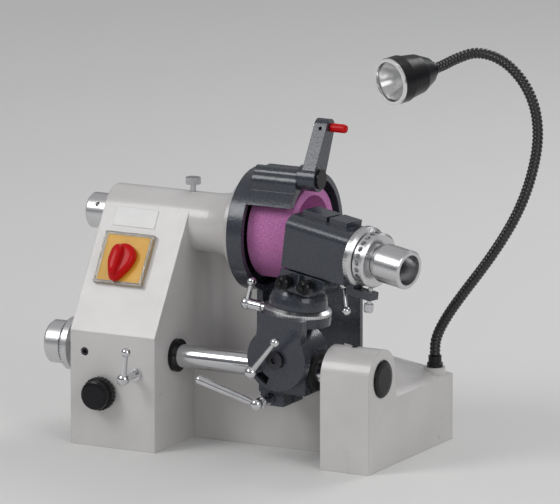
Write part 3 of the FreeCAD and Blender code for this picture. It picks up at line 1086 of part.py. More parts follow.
NODES = {
    "body_casting": body_casting,
    "bottom_plate": bottom_plate,
    "bottom_plate_screws": bottom_plate_screws,
    "cable_gland": cable_gland,
    "front_plug": front_plug,
    "motor_body": motor_body,
    "motor_rotor": motor_rotor,
    "drive_belt": drive_belt,
    "quill": quill,
    "quill_bearings": quill_bearings,
    "wheel_spindle": wheel_spindle,
    "spindle_pulley": spindle_pulley,
    "wheel_nut": wheel_nut,
    "grinding_wheel": grinding_wheel,
    "spindle_feed_knob": spindle_feed_knob,
    "thumb_screw": thumb_screw,
    "wheel_guard": wheel_guard,
    "dresser_pin": dresser_pin,
    "dresser_arm": dresser_arm,
    "dresser_rod": dresser_rod,
    "dresser_cap": dresser_cap,
    "switch_frame": switch_frame,
    "switch_plate": switch_plate,
    "switch_block": switch_block,
    "switch_handle": switch_handle,
    "label_plate": label_plate,
    "front_lever": front_lever,
    "stop_knob": stop_knob,
    "bar_bushes": bar_bushes,
    "end_cap": end_cap,
    "support_screw": support_screw,
    "guide_bar": guide_bar,
    "bar_feed_screw": bar_feed_screw,
    "feed_neck": feed_neck,
    "feed_handwheel": feed_handwheel,
    "slide_block": slide_block,
    "bar_wipers": bar_wipers,
    "bar_clamp_lever": bar_clamp_lever,
    "tilt_lever": tilt_lever,
    "tilt_pivot": tilt_pivot,
    "tilt_bracket": tilt_bracket,
    "swivel_ring": swivel_ring,
    "swivel_lever": swivel_lever,
    "head_saddle": head_saddle,
    "latch_lever": latch_lever,
    "head_casting": head_casting,
    "scale_collar": scale_collar,
    "work_spindle": work_spindle,
    "index_ring": index_ring,
    "index_pin": index_pin,
    "drawtube": drawtube,
    "collet": collet,
    "tool_bit": tool_bit,
    "lamp_foot": lamp_foot,
    "gooseneck": gooseneck,
    "lamp_head": lamp_head,
    "lamp_reflector": lamp_reflector,
    "lamp_lens": lamp_lens,
}

os.makedirs("parts", exist_ok=True)
for name, make in NODES.items():
    shape = make()
    print(name, len(shape.Solids), round(shape.Volume), shape.isValid())
    shape.exportStep("parts/" + name + ".step")
for number, place in enumerate(saddle_knob_places(), 1):
    saddle_knob(place).exportStep("parts/saddle_knob_" + str(number) + ".step")
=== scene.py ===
"""Looks for a bench drill and cutter sharpener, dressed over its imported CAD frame."""

import json
import logging
import math
from dataclasses import dataclass, field
from enum import Enum

import bpy
from mathutils import Matrix, Vector


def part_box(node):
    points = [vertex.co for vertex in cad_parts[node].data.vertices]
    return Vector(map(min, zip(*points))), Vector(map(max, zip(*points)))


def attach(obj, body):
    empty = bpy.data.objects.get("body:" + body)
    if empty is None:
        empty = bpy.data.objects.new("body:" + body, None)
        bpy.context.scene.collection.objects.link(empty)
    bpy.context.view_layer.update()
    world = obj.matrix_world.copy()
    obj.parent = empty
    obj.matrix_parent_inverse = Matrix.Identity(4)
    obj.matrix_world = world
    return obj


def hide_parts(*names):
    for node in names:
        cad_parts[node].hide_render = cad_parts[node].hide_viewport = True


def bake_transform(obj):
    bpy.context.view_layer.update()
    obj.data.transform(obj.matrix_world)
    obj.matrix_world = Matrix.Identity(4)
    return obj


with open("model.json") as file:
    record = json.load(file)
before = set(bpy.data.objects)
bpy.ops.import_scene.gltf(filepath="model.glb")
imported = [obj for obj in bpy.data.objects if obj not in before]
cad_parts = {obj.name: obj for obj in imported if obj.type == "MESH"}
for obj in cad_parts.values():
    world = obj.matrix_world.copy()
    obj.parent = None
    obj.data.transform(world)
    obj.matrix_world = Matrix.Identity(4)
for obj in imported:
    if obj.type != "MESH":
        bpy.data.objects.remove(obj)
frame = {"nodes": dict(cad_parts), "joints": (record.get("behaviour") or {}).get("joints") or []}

log = logging.getLogger("sharpener")
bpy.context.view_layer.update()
JOINTS = {joint["name"]: joint for joint in frame["joints"]}
MM_PER_M = 1000
FULL_TURN = 2 * math.pi
SHARP_ANGLE = math.radians(32)
Colour = tuple[float, float, float]
Point = tuple[float, float, float]
Flat = tuple[float, float]
Shell = tuple[list[Point], list[tuple[int, ...]]]


class Noise(Enum):
    """The noise nodes that the finishes use."""

    CLOUD = "ShaderNodeTexNoise"
    CELL = "ShaderNodeTexVoronoi"


def fill(
    node: bpy.types.Node,
    links: bpy.types.NodeLinks,
    settings: dict[str, object] | None,
    inputs: dict[str, object],
) -> None:
    """Set a node's properties and inputs.

    Args:
        node: the node.
        links: its tree's links.
        settings: properties to set on the node.
        inputs: values or sockets, by name with underscores for spaces, or by number as i0, i1 and so on.
    """
    for key, value in (settings or {}).items():
        setattr(node, key, value)
    for key, value in inputs.items():
        numbered = key[0] == "i" and key[1:].isdigit()
        socket = node.inputs[int(key[1:]) if numbered else key.replace("_", " ")]
        if isinstance(value, bpy.types.NodeSocket):
            links.new(value, socket)
        else:
            socket.default_value = value


def darker(colour: Colour, share: float) -> Colour:
    """Darken a colour.

    Args:
        colour: the colour.
        share: how much of each part is kept.

    Returns:
        The darker colour.
    """
    return tuple(part * share for part in colour)


class Tree:
    """A material's node tree, with short calls for the few nodes that the finishes need."""

    def __init__(self, name: str) -> None:
        """Start a material with a bare principled shader.

        Args:
            name: the material's name.
        """
        self.material = bpy.data.materials.new(name)
        self.material.use_nodes = True
        self.nodes = self.material.node_tree.nodes
        self.links = self.material.node_tree.links
        self.shader = next(n for n in self.nodes if n.type == "BSDF_PRINCIPLED")

    def set(self, **values: object) -> None:
        """Set constants on the shader.

        Args:
            values: the values, by the sockets' names with underscores for spaces.
        """
        for key, value in values.items():
            if isinstance(value, tuple) and len(value) == 3:
                value = (*value, 1.0)
            self.shader.inputs[key.replace("_", " ")].default_value = value

    def join(self, source: bpy.types.NodeSocket, socket: str) -> None:
        """Link a socket to the shader.

        Args:
            source: the socket to link from.
            socket: the shader's input.
        """
        self.links.new(source, self.shader.inputs[socket])

    def add(self, kind: str, settings: dict[str, object] | None = None, **inputs: object) -> bpy.types.Node:
        """Add a node.

        Args:
            kind: the node's type name.
            settings: properties to set on the node.
            inputs: values or sockets for its inputs, as fill takes them.

        Returns:
            The new node.
        """
        node = self.nodes.new(kind)
        fill(node, self.links, settings, inputs)
        return node

    def vector(self, operation: str, **inputs: object) -> bpy.types.NodeOutputs:
        """Add a vector sum.

        Args:
            operation: the sum's name.
            inputs: values or sockets for its inputs.

        Returns:
            The sum's outputs.
        """
        return self.add("ShaderNodeVectorMath", {"operation": operation}, **inputs).outputs

    def place(self) -> bpy.types.NodeSocket:
        """Find the point on the piece.

        Returns:
            The point in object coordinates.
        """
        return self.add("ShaderNodeTexCoord").outputs["Object"]

    def grain(self, scale: float, detail: float) -> bpy.types.NodeSocket:
        """Lay a cloud noise over the piece.

        Args:
            scale: features per metre.
            detail: how many finer layers it has.

        Returns:
            The noise's value, from 0 to 1.
        """
        return self.add(Noise.CLOUD.value, Vector=self.place(), Scale=scale, Detail=detail).outputs["Fac"]

    def tint(self, factor: bpy.types.NodeSocket, *stops: tuple[float, Colour]) -> None:
        """Colour the surface by a ramp over a value.

        Args:
            factor: the value to read.
            stops: places from 0 to 1 and their colours.
        """
        node = self.add("ShaderNodeValToRGB", None, Fac=factor)
        ramp = node.color_ramp
        while len(ramp.elements) < len(stops):
            ramp.elements.new(0.5)
        for element, (place, colour) in zip(ramp.elements, stops):
            element.position = place
            element.color = (*colour, 1.0)
        self.join(node.outputs["Color"], "Base Color")

    def gloss(self, value: bpy.types.NodeSocket, low: float, high: float) -> None:
        """Vary the surface's roughness.

        Args:
            value: what it varies with, from 0 to 1.
            low: the roughness at 0.
            high: the roughness at 1.
        """
        node = self.add("ShaderNodeMapRange", None, Value=value, To_Min=low, To_Max=high)
        self.join(node.outputs["Result"], "Roughness")

    def rings(self, at: Point, along: Point, per_metre: float) -> bpy.types.NodeSocket:
        """Lay fine uneven tool rings round an axis.

        Args:
            at: a point on the axis.
            along: the axis's direction.
            per_metre: how many rings a metre has, along the axis and out from it.

        Returns:
            The rings' value, from 0 to 1.
        """
        offset = self.vector("SUBTRACT", i0=self.place(), i1=at)["Vector"]
        depth = self.vector("DOT_PRODUCT", i0=offset, i1=along)["Value"]
        line = self.vector("SCALE", i0=along, Scale=depth)["Vector"]
        out = self.vector("SUBTRACT", i0=offset, i1=line)["Vector"]
        reach = self.vector("LENGTH", i0=out)["Value"]
        place = self.add("ShaderNodeMath", {"operation": "ADD"}, i0=depth, i1=reach).outputs["Value"]
        flat = {"noise_dimensions": "1D"}
        return self.add(Noise.CLOUD.value, flat, W=place, Scale=per_metre, Detail=3.0).outputs["Fac"]

    def relief(self, height: bpy.types.NodeSocket, depth: float, edge: float, strength: float = 1.0) -> None:
        """Bump the surface, and soften its edges.

        Args:
            height: the bump's height from 0 to 1.
            depth: the bump's depth in metres.
            edge: the radius that sharp edges are seen to have, in metres.
            strength: how strongly the bump shows.
        """
        soft = self.add("ShaderNodeBevel", {"samples": 4}, Radius=edge).outputs["Normal"]
        bump = self.add("ShaderNodeBump", None, Height=height, Distance=depth, Strength=strength, Normal=soft)
        self.join(bump.outputs["Normal"], "Normal")


@dataclass(frozen=True)
class CastPaint:
    """Thick glossy paint on a casting, with an orange-peel skin."""

    name: str
    colour: Colour
    shade: Colour
    roughness: float = 0.3
    peel: float = 700.0
    peel_depth: float = 0.00006
    edge: float = 0.0016
    blotch: float = 14.0
    smear: float = 60.0

    def material(self) -> bpy.types.Material:
        """Build the material.

        Returns:
            The painted surface.
        """
        tree = Tree(self.name)
        tree.set(Coat_Weight=0.35, Coat_Roughness=0.12)
        tree.tint(tree.grain(self.blotch, detail=4.0), (0.3, self.shade), (0.62, self.colour))
        tree.gloss(tree.grain(self.smear, detail=3.0), self.roughness - 0.07, self.roughness + 0.09)
        tree.relief(tree.grain(self.peel, detail=1.0), self.peel_depth, self.edge)
        return tree.material


@dataclass(frozen=True)
class HammeredPaint:
    """Dark hammered paint, with small dimples."""

    name: str
    colour: Colour
    shade: Colour
    roughness: float = 0.3
    edge: float = 0.0012
    flake: float = 520.0
    smear: float = 180.0
    dimple: float = 420.0
    dimple_depth: float = 0.00035

    def material(self) -> bpy.types.Material:
        """Build the material.

        Returns:
            The painted surface.
        """
        tree = Tree(self.name)
        tree.set(Coat_Weight=0.3, Coat_Roughness=0.15, Metallic=0.12)
        tree.tint(tree.grain(self.flake, detail=3.0), (0.35, self.shade), (0.65, self.colour))
        tree.gloss(tree.grain(self.smear, detail=2.0), self.roughness - 0.08, self.roughness + 0.12)
        tree.relief(tree.grain(self.dimple, detail=1.5), self.dimple_depth, self.edge, strength=0.55)
        return tree.material


@dataclass(frozen=True)
class TurnedMetal:
    """Metal with the rings that a lathe or a grinding wheel leaves round an axis."""

    name: str
    colour: Colour
    shade: Colour
    at: Point
    along: Point
    roughness: float = 0.32
    pitch: float = 2600.0
    depth: float = 0.00003
    edge: float = 0.0005
    smear: float = 45.0

    def material(self) -> bpy.types.Material:
        """Build the material.

        Returns:
            The turned surface.
        """
        tree = Tree(self.name)
        tree.set(Metallic=1.0)
        rings = tree.rings(self.at, self.along, self.pitch)
        tree.tint(rings, (0.3, self.shade), (0.7, self.colour))
        tree.gloss(tree.grain(self.smear, detail=4.0), self.roughness - 0.08, self.roughness + 0.08)
        tree.relief(rings, self.depth, self.edge, strength=0.5)
        return tree.material


@dataclass(frozen=True)
class PlainMetal:
    """Plated or ground metal with faint handling marks."""

    name: str
    colour: Colour
    shade: Colour
    roughness: float = 0.12
    edge: float = 0.0004
    mark: float = 90.0
    smear: float = 160.0
    scuff: float = 900.0
    scuff_depth: float = 0.00001

    def material(self) -> bpy.types.Material:
        """Build the material.

        Returns:
            The metal surface.
        """
        tree = Tree(self.name)
        tree.set(Metallic=1.0)
        tree.tint(tree.grain(self.mark, detail=5.0), (0.35, self.shade), (0.65, self.colour))
        tree.gloss(tree.grain(self.smear, detail=3.0), self.roughness - 0.04, self.roughness + 0.1)
        tree.relief(tree.grain(self.scuff, detail=1.0), self.scuff_depth, self.edge, strength=0.3)
        return tree.material


@dataclass(frozen=True)
class Moulded:
    """Moulded plastic or rubber, with a fine spark-eroded grain."""

    name: str
    colour: Colour
    shade: Colour
    roughness: float = 0.35
    grain: float = 1500.0
    coat: float = 0.0
    edge: float = 0.0008
    shine: float = 0.5
    blotch: float = 35.0
    smear: float = 120.0
    grain_depth: float = 0.00003

    def material(self) -> bpy.types.Material:
        """Build the material.

        Returns:
            The moulded surface.
        """
        tree = Tree(self.name)
        tree.set(Coat_Weight=self.coat, Coat_Roughness=0.1, Specular_IOR_Level=self.shine)
        tree.tint(tree.grain(self.blotch, detail=3.0), (0.35, self.shade), (0.65, self.colour))
        tree.gloss(tree.grain(self.smear, detail=2.0), self.roughness - 0.06, self.roughness + 0.08)
        tree.relief(tree.grain(self.grain, detail=1.0), self.grain_depth, self.edge, strength=0.5)
        return tree.material


@dataclass(frozen=True)
class Abrasive:
    """Bonded abrasive: pink grit with pale grains and dark pores."""

    name: str
    colour: Colour
    pale: Colour
    pore: Colour
    grit: float = 2300.0
    grit_depth: float = 0.00022
    edge: float = 0.0012

    def material(self) -> bpy.types.Material:
        """Build the material.

        Returns:
            The gritty surface.
        """
        tree = Tree(self.name)
        tree.set(Roughness=0.92)
        cells = tree.add(Noise.CELL.value, None, Vector=tree.place(), Scale=self.grit).outputs
        tone = tree.add("ShaderNodeSeparateColor", None, Color=cells["Color"]).outputs["Red"]
        shade = darker(self.colour, 0.86)
        tree.tint(tone, (0.0, self.pore), (0.12, shade), (0.5, self.colour), (0.93, self.pale))
        tree.relief(cells["Distance"], self.grit_depth, self.edge, strength=0.7)
        return tree.material


@dataclass(frozen=True)
class Clear:
    """Clear plastic or glass."""

    name: str
    colour: Colour
    roughness: float = 0.06
    index: float = 1.49
    haze: float = 70.0

    def material(self) -> bpy.types.Material:
        """Build the material.

        Returns:
            The clear surface.
        """
        tree = Tree(self.name)
        tree.set(Base_Color=self.colour, Transmission_Weight=0.92, IOR=self.index)
        tree.gloss(tree.grain(self.haze, detail=3.0), self.roughness * 0.5, self.roughness * 1.8)
        return tree.material


Finish = CastPaint | HammeredPaint | TurnedMetal | PlainMetal | Moulded | Abrasive | Clear


def joint_axis(name: str) -> tuple[Point, Point]:
    """Read a joint's place and direction in the row frame.

    Args:
        name: the joint's name.

    Returns:
        A point on the axis and the axis direction.
    """
    joint = JOINTS[name]
    return tuple(joint["pos_m"]), tuple(joint["axis"])


@dataclass
class Finishes:
    """Which finish each CAD node takes."""

    light: Colour = (0.640, 0.625, 0.615)
    slate: Colour = (0.050, 0.057, 0.074)
    alloy: Colour = (0.72, 0.72, 0.73)
    steel: Colour = (0.66, 0.66, 0.68)
    black: Colour = (0.006, 0.006, 0.007)
    pitch: Colour = (0.011, 0.011, 0.013)

    def paints(self) -> dict[Finish, list[str]]:
        """Match the paints and the abrasive to their nodes.

        Returns:
            Each finish and the nodes that take it.
        """
        return {
            CastPaint("light_casting_paint", self.light, (0.585, 0.570, 0.558)): ["body_casting"],
            HammeredPaint("slate_hammered_paint", self.slate, (0.034, 0.039, 0.051), roughness=0.24): [
                "wheel_guard", "dresser_arm", "slide_block", "tilt_bracket", "head_saddle", "head_casting"],
            Abrasive("pink_abrasive", (0.57, 0.165, 0.45), (0.74, 0.34, 0.63), (0.36, 0.085, 0.28)): [
                "grinding_wheel"],
        }

    def metals(self) -> dict[Finish, list[str]]:
        """Match the bare and plated metals to their nodes.

        Returns:
            Each finish and the nodes that take it.
        """
        spindle, bar = joint_axis("wheel_spin"), joint_axis("work_swing")
        work, swivel = joint_axis("work_spindle_turn"), joint_axis("head_swivel")
        screw = joint_axis("lock_screw_turn")
        alloy = (self.alloy, darker(self.alloy, 0.86))
        steel = (self.steel, darker(self.steel, 0.85))
        ground = ((0.70, 0.70, 0.72), (0.61, 0.61, 0.63))
        return {
            TurnedMetal("spindle_knob_alloy", *alloy, *spindle): ["spindle_feed_knob"],
            TurnedMetal("feed_wheel_alloy", *alloy, *bar): ["feed_handwheel", "feed_neck"],
            TurnedMetal("workhead_alloy", *alloy, *work, roughness=0.28): [
                "scale_collar", "index_ring", "drawtube"],
            TurnedMetal("swivel_ring_alloy", *alloy, *swivel): ["swivel_ring"],
            TurnedMetal("lock_screw_steel", *steel, *screw): ["thumb_screw"],
            TurnedMetal("ground_bar_steel", *ground, *bar, roughness=0.13, pitch=5200.0, depth=0.000008): [
                "guide_bar", "bar_feed_screw"],
            TurnedMetal("spindle_steel", *steel, *spindle, roughness=0.3): [
                "quill", "wheel_spindle", "wheel_nut", "spindle_pulley", "quill_bearings", "motor_rotor"],
            TurnedMetal("work_spindle_steel", *steel, *work, roughness=0.26): [
                "work_spindle", "collet", "tool_bit", "index_pin"],
            PlainMetal("lever_chrome", (0.74, 0.74, 0.76), (0.67, 0.67, 0.69), roughness=0.09): [
                "front_lever", "bar_clamp_lever", "tilt_lever", "swivel_lever", "latch_lever"],
            PlainMetal("screw_steel", *steel, roughness=0.3): ["dresser_rod", "bottom_plate_screws"],
            PlainMetal("blued_steel", (0.085, 0.085, 0.095), (0.055, 0.055, 0.062), roughness=0.34): [
                "support_screw", "tilt_pivot", "front_plug"],
            PlainMetal("sheet_steel", (0.32, 0.32, 0.33), (0.26, 0.26, 0.27), roughness=0.42): ["bottom_plate"],
            PlainMetal("reflector_alloy", (0.86, 0.86, 0.86), (0.80, 0.80, 0.80), roughness=0.16): [
                "lamp_reflector"],
        }

    def plastics(self) -> dict[Finish, list[str]]:
        """Match the plastics, rubber and glass to their nodes.

        Returns:
            Each finish and the nodes that take it.
        """
        blacks = (self.pitch, self.black)
        return {
            Moulded("lamp_black", *blacks, roughness=0.28, shine=0.3): ["lamp_head", "lamp_foot", "motor_body"],
            Moulded("knob_black", *blacks, roughness=0.19, shine=0.22): [
                "stop_knob", "end_cap", "saddle_knob_1", "saddle_knob_2", "bar_bushes", "dresser_pin",
                "cable_gland", "switch_block"],
            Moulded("wiper_rubber", (0.03, 0.03, 0.03), self.black, roughness=0.62, grain=900.0): [
                "bar_wipers", "drive_belt"],
            Moulded("switch_yellow", (0.80, 0.46, 0.045), (0.74, 0.40, 0.035), roughness=0.4): ["switch_plate"],
            Moulded("handle_red", (0.62, 0.005, 0.007), (0.55, 0.004, 0.006), roughness=0.22, shine=0.2): [
                "switch_handle", "dresser_cap"],
            Moulded("plate_white", (0.82, 0.82, 0.81), (0.78, 0.78, 0.77), roughness=0.34): ["label_plate"],
            Clear("switch_clear", (0.98, 0.95, 0.88), roughness=0.02, index=1.3): ["switch_frame"],
            Clear("lens_clear", (0.97, 0.97, 0.97), roughness=0.03): ["lamp_lens"],
        }

    def dress(self) -> None:
        """Put each finish on its nodes."""
        for finish, nodes in (self.paints() | self.metals() | self.plastics()).items():
            material = finish.material()
            for name in nodes:
                node = frame["nodes"][name]
                node.data.materials.clear()
                node.data.materials.append(material)
                log.info("dressed %s in %s", name, material.name)


def put(name: str, data: bpy.types.ID) -> bpy.types.Object:
    """Make an object and link it to the scene.

    Args:
        name: the object's name.
        data: its mesh, curve, lamp or camera.

    Returns:
        The new object.
    """
    made = bpy.data.objects.new(name, data)
    bpy.context.scene.collection.objects.link(made)
    return made


class Recipe:
    """A Geometry Nodes tree with named inputs, run once on an object and turned into a plain mesh."""

    def __init__(self, name: str) -> None:
        """Start an empty tree.

        Args:
            name: the tree's name.
        """
        self.tree = bpy.data.node_groups.new(name, "GeometryNodeTree")
        self.face = self.tree.interface
        self.face.new_socket("Geometry", in_out="INPUT", socket_type="NodeSocketGeometry")
        self.face.new_socket("Geometry", in_out="OUTPUT", socket_type="NodeSocketGeometry")
        self.source = self.tree.nodes.new("NodeGroupInput")
        self.result = self.tree.nodes.new("NodeGroupOutput")
        self.values: dict[str, object] = {}

    def value(self, name: str, kind: str, value: object) -> bpy.types.NodeSocket:
        """Add a named input.

        Args:
            name: the input's name.
            kind: its socket type, such as Float.
            value: what it is set to on the object.

        Returns:
            The socket to link from.
        """
        socket = self.face.new_socket(name, in_out="INPUT", socket_type="NodeSocket" + kind)
        self.values[socket.identifier] = value
        return next(s for s in self.source.outputs if s.identifier == socket.identifier)

    def add(self, kind: str, settings: dict[str, object] | None = None, **inputs: object) -> bpy.types.Node:
        """Add a node.

        Args:
            kind: the node's type name.
            settings: properties to set on the node.
            inputs: values or sockets for its inputs, as fill takes them.

        Returns:
            The new node.
        """
        node = self.tree.nodes.new(kind)
        fill(node, self.tree.links, settings, inputs)
        return node

    def math(self, operation: str, first: object, second: object = 0.0) -> bpy.types.NodeSocket:
        """Add a sum on one or two values.

        Args:
            operation: the sum's name.
            first: its first value or socket.
            second: its second value or socket.

        Returns:
            The sum's result.
        """
        return self.add("ShaderNodeMath", {"operation": operation}, i0=first, i1=second).outputs["Value"]

    def spot(self, **parts: object) -> bpy.types.NodeSocket:
        """Join X, Y and Z into a vector.

        Args:
            parts: values or sockets for X, Y and Z, with 0 for one that is left out.

        Returns:
            The vector.
        """
        return self.add("ShaderNodeCombineXYZ", None, **parts).outputs["Vector"]

    def capture(
        self, shape: bpy.types.NodeSocket, name: str, value: bpy.types.NodeSocket
    ) -> tuple[bpy.types.NodeSocket, bpy.types.NodeSocket]:
        """Keep a value on a shape's points.

        Args:
            shape: the shape.
            name: the value's name.
            value: the value to keep.

        Returns:
            The shape and the kept value.
        """
        node = self.add("GeometryNodeCaptureAttribute", {"domain": "POINT"})
        node.capture_items.new("FLOAT", name)
        self.tree.links.new(shape, node.inputs["Geometry"])
        self.tree.links.new(value, node.inputs[name])
        return node.outputs["Geometry"], node.outputs[name]

    def make(
        self, start: bpy.types.Object, shape: bpy.types.NodeSocket, material: bpy.types.Material
    ) -> bpy.types.Mesh:
        """End the tree, run it on an object and return the plain mesh.

        Args:
            start: the object that carries the modifier.
            shape: the geometry to give out.
            material: the material to set.

        Returns:
            The mesh, with the start object removed.
        """
        real = self.add("GeometryNodeRealizeInstances", None, Geometry=shape).outputs["Geometry"]
        done = self.add("GeometryNodeSetMaterial", None, Geometry=real, Material=material)
        self.tree.links.new(done.outputs["Geometry"], self.result.inputs["Geometry"])
        modifier = start.modifiers.new(self.tree.name, "NODES")
        modifier.node_group = self.tree
        for identifier, value in self.values.items():
            modifier[identifier] = value
        graph = bpy.context.evaluated_depsgraph_get()
        mesh = bpy.data.meshes.new_from_object(start.evaluated_get(graph), depsgraph=graph)
        data = start.data
        bpy.data.objects.remove(start)
        (bpy.data.curves if isinstance(data, bpy.types.Curve) else bpy.data.meshes).remove(data)
        return mesh


def piece(
    name: str, mesh: bpy.types.Mesh, body: str, material: bpy.types.Material
) -> bpy.types.Object:
    """Make an object of a mesh and ride it on a body.

    Args:
        name: the piece's name.
        mesh: its mesh, in the row frame.
        body: the CAD body it moves with.
        material: its material.

    Returns:
        The new object.
    """
    made = put(name, mesh)
    mesh.name = name
    mesh.materials.clear()
    mesh.materials.append(material)
    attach(made, body)
    log.info("made %s with %d faces", name, len(mesh.polygons))
    return made


def loft(rings: list[list[Vector]]) -> Shell:
    """Stretch a closed skin through rings of points, capped at both ends.

    Args:
        rings: rings of equally many points, in order.

    Returns:
        The skin's corners and faces.
    """
    count = len(rings[0])
    corners = [tuple(point) for ring in rings for point in ring]
    end = (len(rings) - 1) * count
    faces = [tuple(range(count - 1, -1, -1)), tuple(range(end, end + count))]
    for row in range(len(rings) - 1):
        here, above = row * count, (row + 1) * count
        for i in range(count):
            after = (i + 1) % count
            faces.append((here + i, here + after, above + after, above + i))
    return corners, faces


def closed_curve(points: tuple[Flat, ...], steps: int) -> list[Vector]:
    """Draw a smooth closed curve through flat points.

    Args:
        points: the points, in order.
        steps: how many points the curve has for each of them.

    Returns:
        The curve's points.
    """
    spots = [Vector((*point, 0.0)) for point in points]
    curve = []
    for i, here in enumerate(spots):
        before, after, last = spots[i - 1], spots[(i + 1) % len(spots)], spots[(i + 2) % len(spots)]
        for k in range(steps):
            t = k / steps
            square = (2 * before - 5 * here + 4 * after - last) * t * t
            cube = (3 * here - 3 * after + last - before) * t ** 3
            curve.append(here + ((after - before) * t + (square + cube)) * 0.5)
    return curve


def stand_in(
    name: str, shells: list[Shell], node: str, finish: bpy.types.Material
) -> bpy.types.Object:
    """Join shells into one piece that stands for a CAD node and moves with it.

    Args:
        name: the piece's name.
        shells: closed skins in the row frame.
        node: the CAD node, whose body has the same name.
        finish: the piece's material.

    Returns:
        The new object.
    """
    corners: list[Point] = []
    faces: list[tuple[int, ...]] = []
    for points, skin in shells:
        base = len(corners)
        faces += [tuple(base + i for i in face) for face in skin]
        corners += points
    mesh = bpy.data.meshes.new(name)
    mesh.from_pydata(corners, [], faces)
    mesh.polygons.foreach_set("use_smooth", [True] * len(faces))
    mesh.set_sharp_from_angle(angle=SHARP_ANGLE)
    made = piece(name, mesh, node, finish)
    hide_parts(node)
    return made


@dataclass
class SwitchHandle:
    """The red handle: a rounded teardrop skirt with a raised grip, in place of the CAD node's plain one.

    The outlines are in millimetres. The rows give a share of the outline and a share of the height.
    """

    outline: tuple[Flat, ...] = (
        (0, 20), (9, 17.5), (14.5, 8), (12.5, -5), (5.5, -18),
        (-1, -25.5), (-6.5, -24.5), (-11, -13), (-13.5, 1), (-10, 14))
    outline_corner: Flat = (-13.6, -25.9)
    outline_size: Flat = (28.2, 46.0)
    grip: tuple[Flat, ...] = (
        (-5, 15.5), (-0.5, 16), (3, 8), (2, -9), (0, -20.5), (-4.5, -21.5), (-7.5, -9), (-8.5, 7))
    skirt_rows: tuple[Flat, ...] = (
        (0.97, 0.0), (1.0, 0.06), (1.0, 0.3), (0.985, 0.4), (0.94, 0.47), (0.86, 0.52), (0.7, 0.55))
    grip_rows: tuple[Flat, ...] = (
        (1.04, 0.4), (1.0, 0.55), (0.97, 0.76), (0.9, 0.89), (0.78, 0.96), (0.55, 1.0))
    curve_steps: int = 7
    above_plate: float = 0.001

    def build(self, finish: bpy.types.Material) -> bpy.types.Object:
        """Shape the handle inside the CAD handle's own box.

        Args:
            finish: the red plastic.

        Returns:
            The handle.
        """
        at, out = (Vector(v) for v in joint_axis("switch_turn"))
        side = Vector((1, 0, 0))
        turn = Matrix((side, out.cross(side), out)).transposed()
        back = turn.transposed()
        local = [back @ (v.co - at) for v in frame["nodes"]["switch_handle"].data.vertices]
        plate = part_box("switch_plate")
        seat = max((back @ (Vector((plate[0][0], corner[1], corner[2])) - at)).z for corner in plate)
        shown = [v for v in local if v.z > seat + self.above_plate]
        low = [min(v[i] for v in shown) for i in range(3)]
        size = [max(v[i] for v in shown) - low[i] for i in range(3)]
        shells: list[Shell] = []
        for points, rows in ((self.outline, self.skirt_rows), (self.grip, self.grip_rows)):
            curve = closed_curve(points, self.curve_steps)
            middle = sum(curve, Vector()) / len(curve)
            rings = []
            for share, height in rows:
                ring = []
                for point in curve:
                    flat = middle + (point - middle) * share
                    x, y = (low[i] + size[i] * (flat[i] - self.outline_corner[i]) / self.outline_size[i]
                            for i in range(2))
                    ring.append(at + turn @ Vector((x, y, low[2] + size[2] * height)))
                rings.append(ring[::-1])
            shells.append(loft(rings))
        return stand_in("rounded_switch_handle", shells, "switch_handle", finish)


@dataclass
class StopKnob:
    """The black knob: a plain round face in front of a finely fluted skirt.

    The rows give a share of the length, a share of the radius and how deep the flutes are.
    """

    flutes: int = 24
    around: int = 192
    rows: tuple[Point, ...] = (
        (0.0, 0.90, 0.0), (0.02, 0.96, 0.5), (0.06, 1.0, 1.0), (0.45, 1.0, 1.0),
        (0.49, 0.97, 0.6), (0.50, 0.89, 0.0), (0.52, 0.87, 0.0), (0.86, 0.87, 0.0),
        (0.93, 0.84, 0.0), (0.975, 0.77, 0.0), (1.0, 0.66, 0.0), (1.0, 0.2, 0.0))
    flute_depth: float = 0.055
    flute_shape: float = 0.7
    off_face: float = 0.002

    def build(self, finish: bpy.types.Material) -> bpy.types.Object:
        """Turn the knob inside the CAD knob's own box.

        Args:
            finish: the black plastic.

        Returns:
            The knob.
        """
        low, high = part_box("stop_knob")
        at = Vector(joint_axis("stop_knob_turn")[0])
        radius = min(high[0] - at.x, high[2] - at.z)
        back, front = at.y - self.off_face, low[1]
        rings = []
        for along, share, flute in self.rows:
            y = back + (front - back) * along
            ring = []
            for i in range(self.around):
                a = FULL_TURN * i / self.around
                wave = abs(math.sin(self.flutes * a / 2)) ** self.flute_shape
                reach = radius * share * (1 - self.flute_depth * flute * (1 - wave))
                ring.append(Vector((at.x + reach * math.cos(a), y, at.z + reach * math.sin(a))))
            rings.append(ring)
        return stand_in("turned_stop_knob", [loft(rings)], "stop_knob", finish)


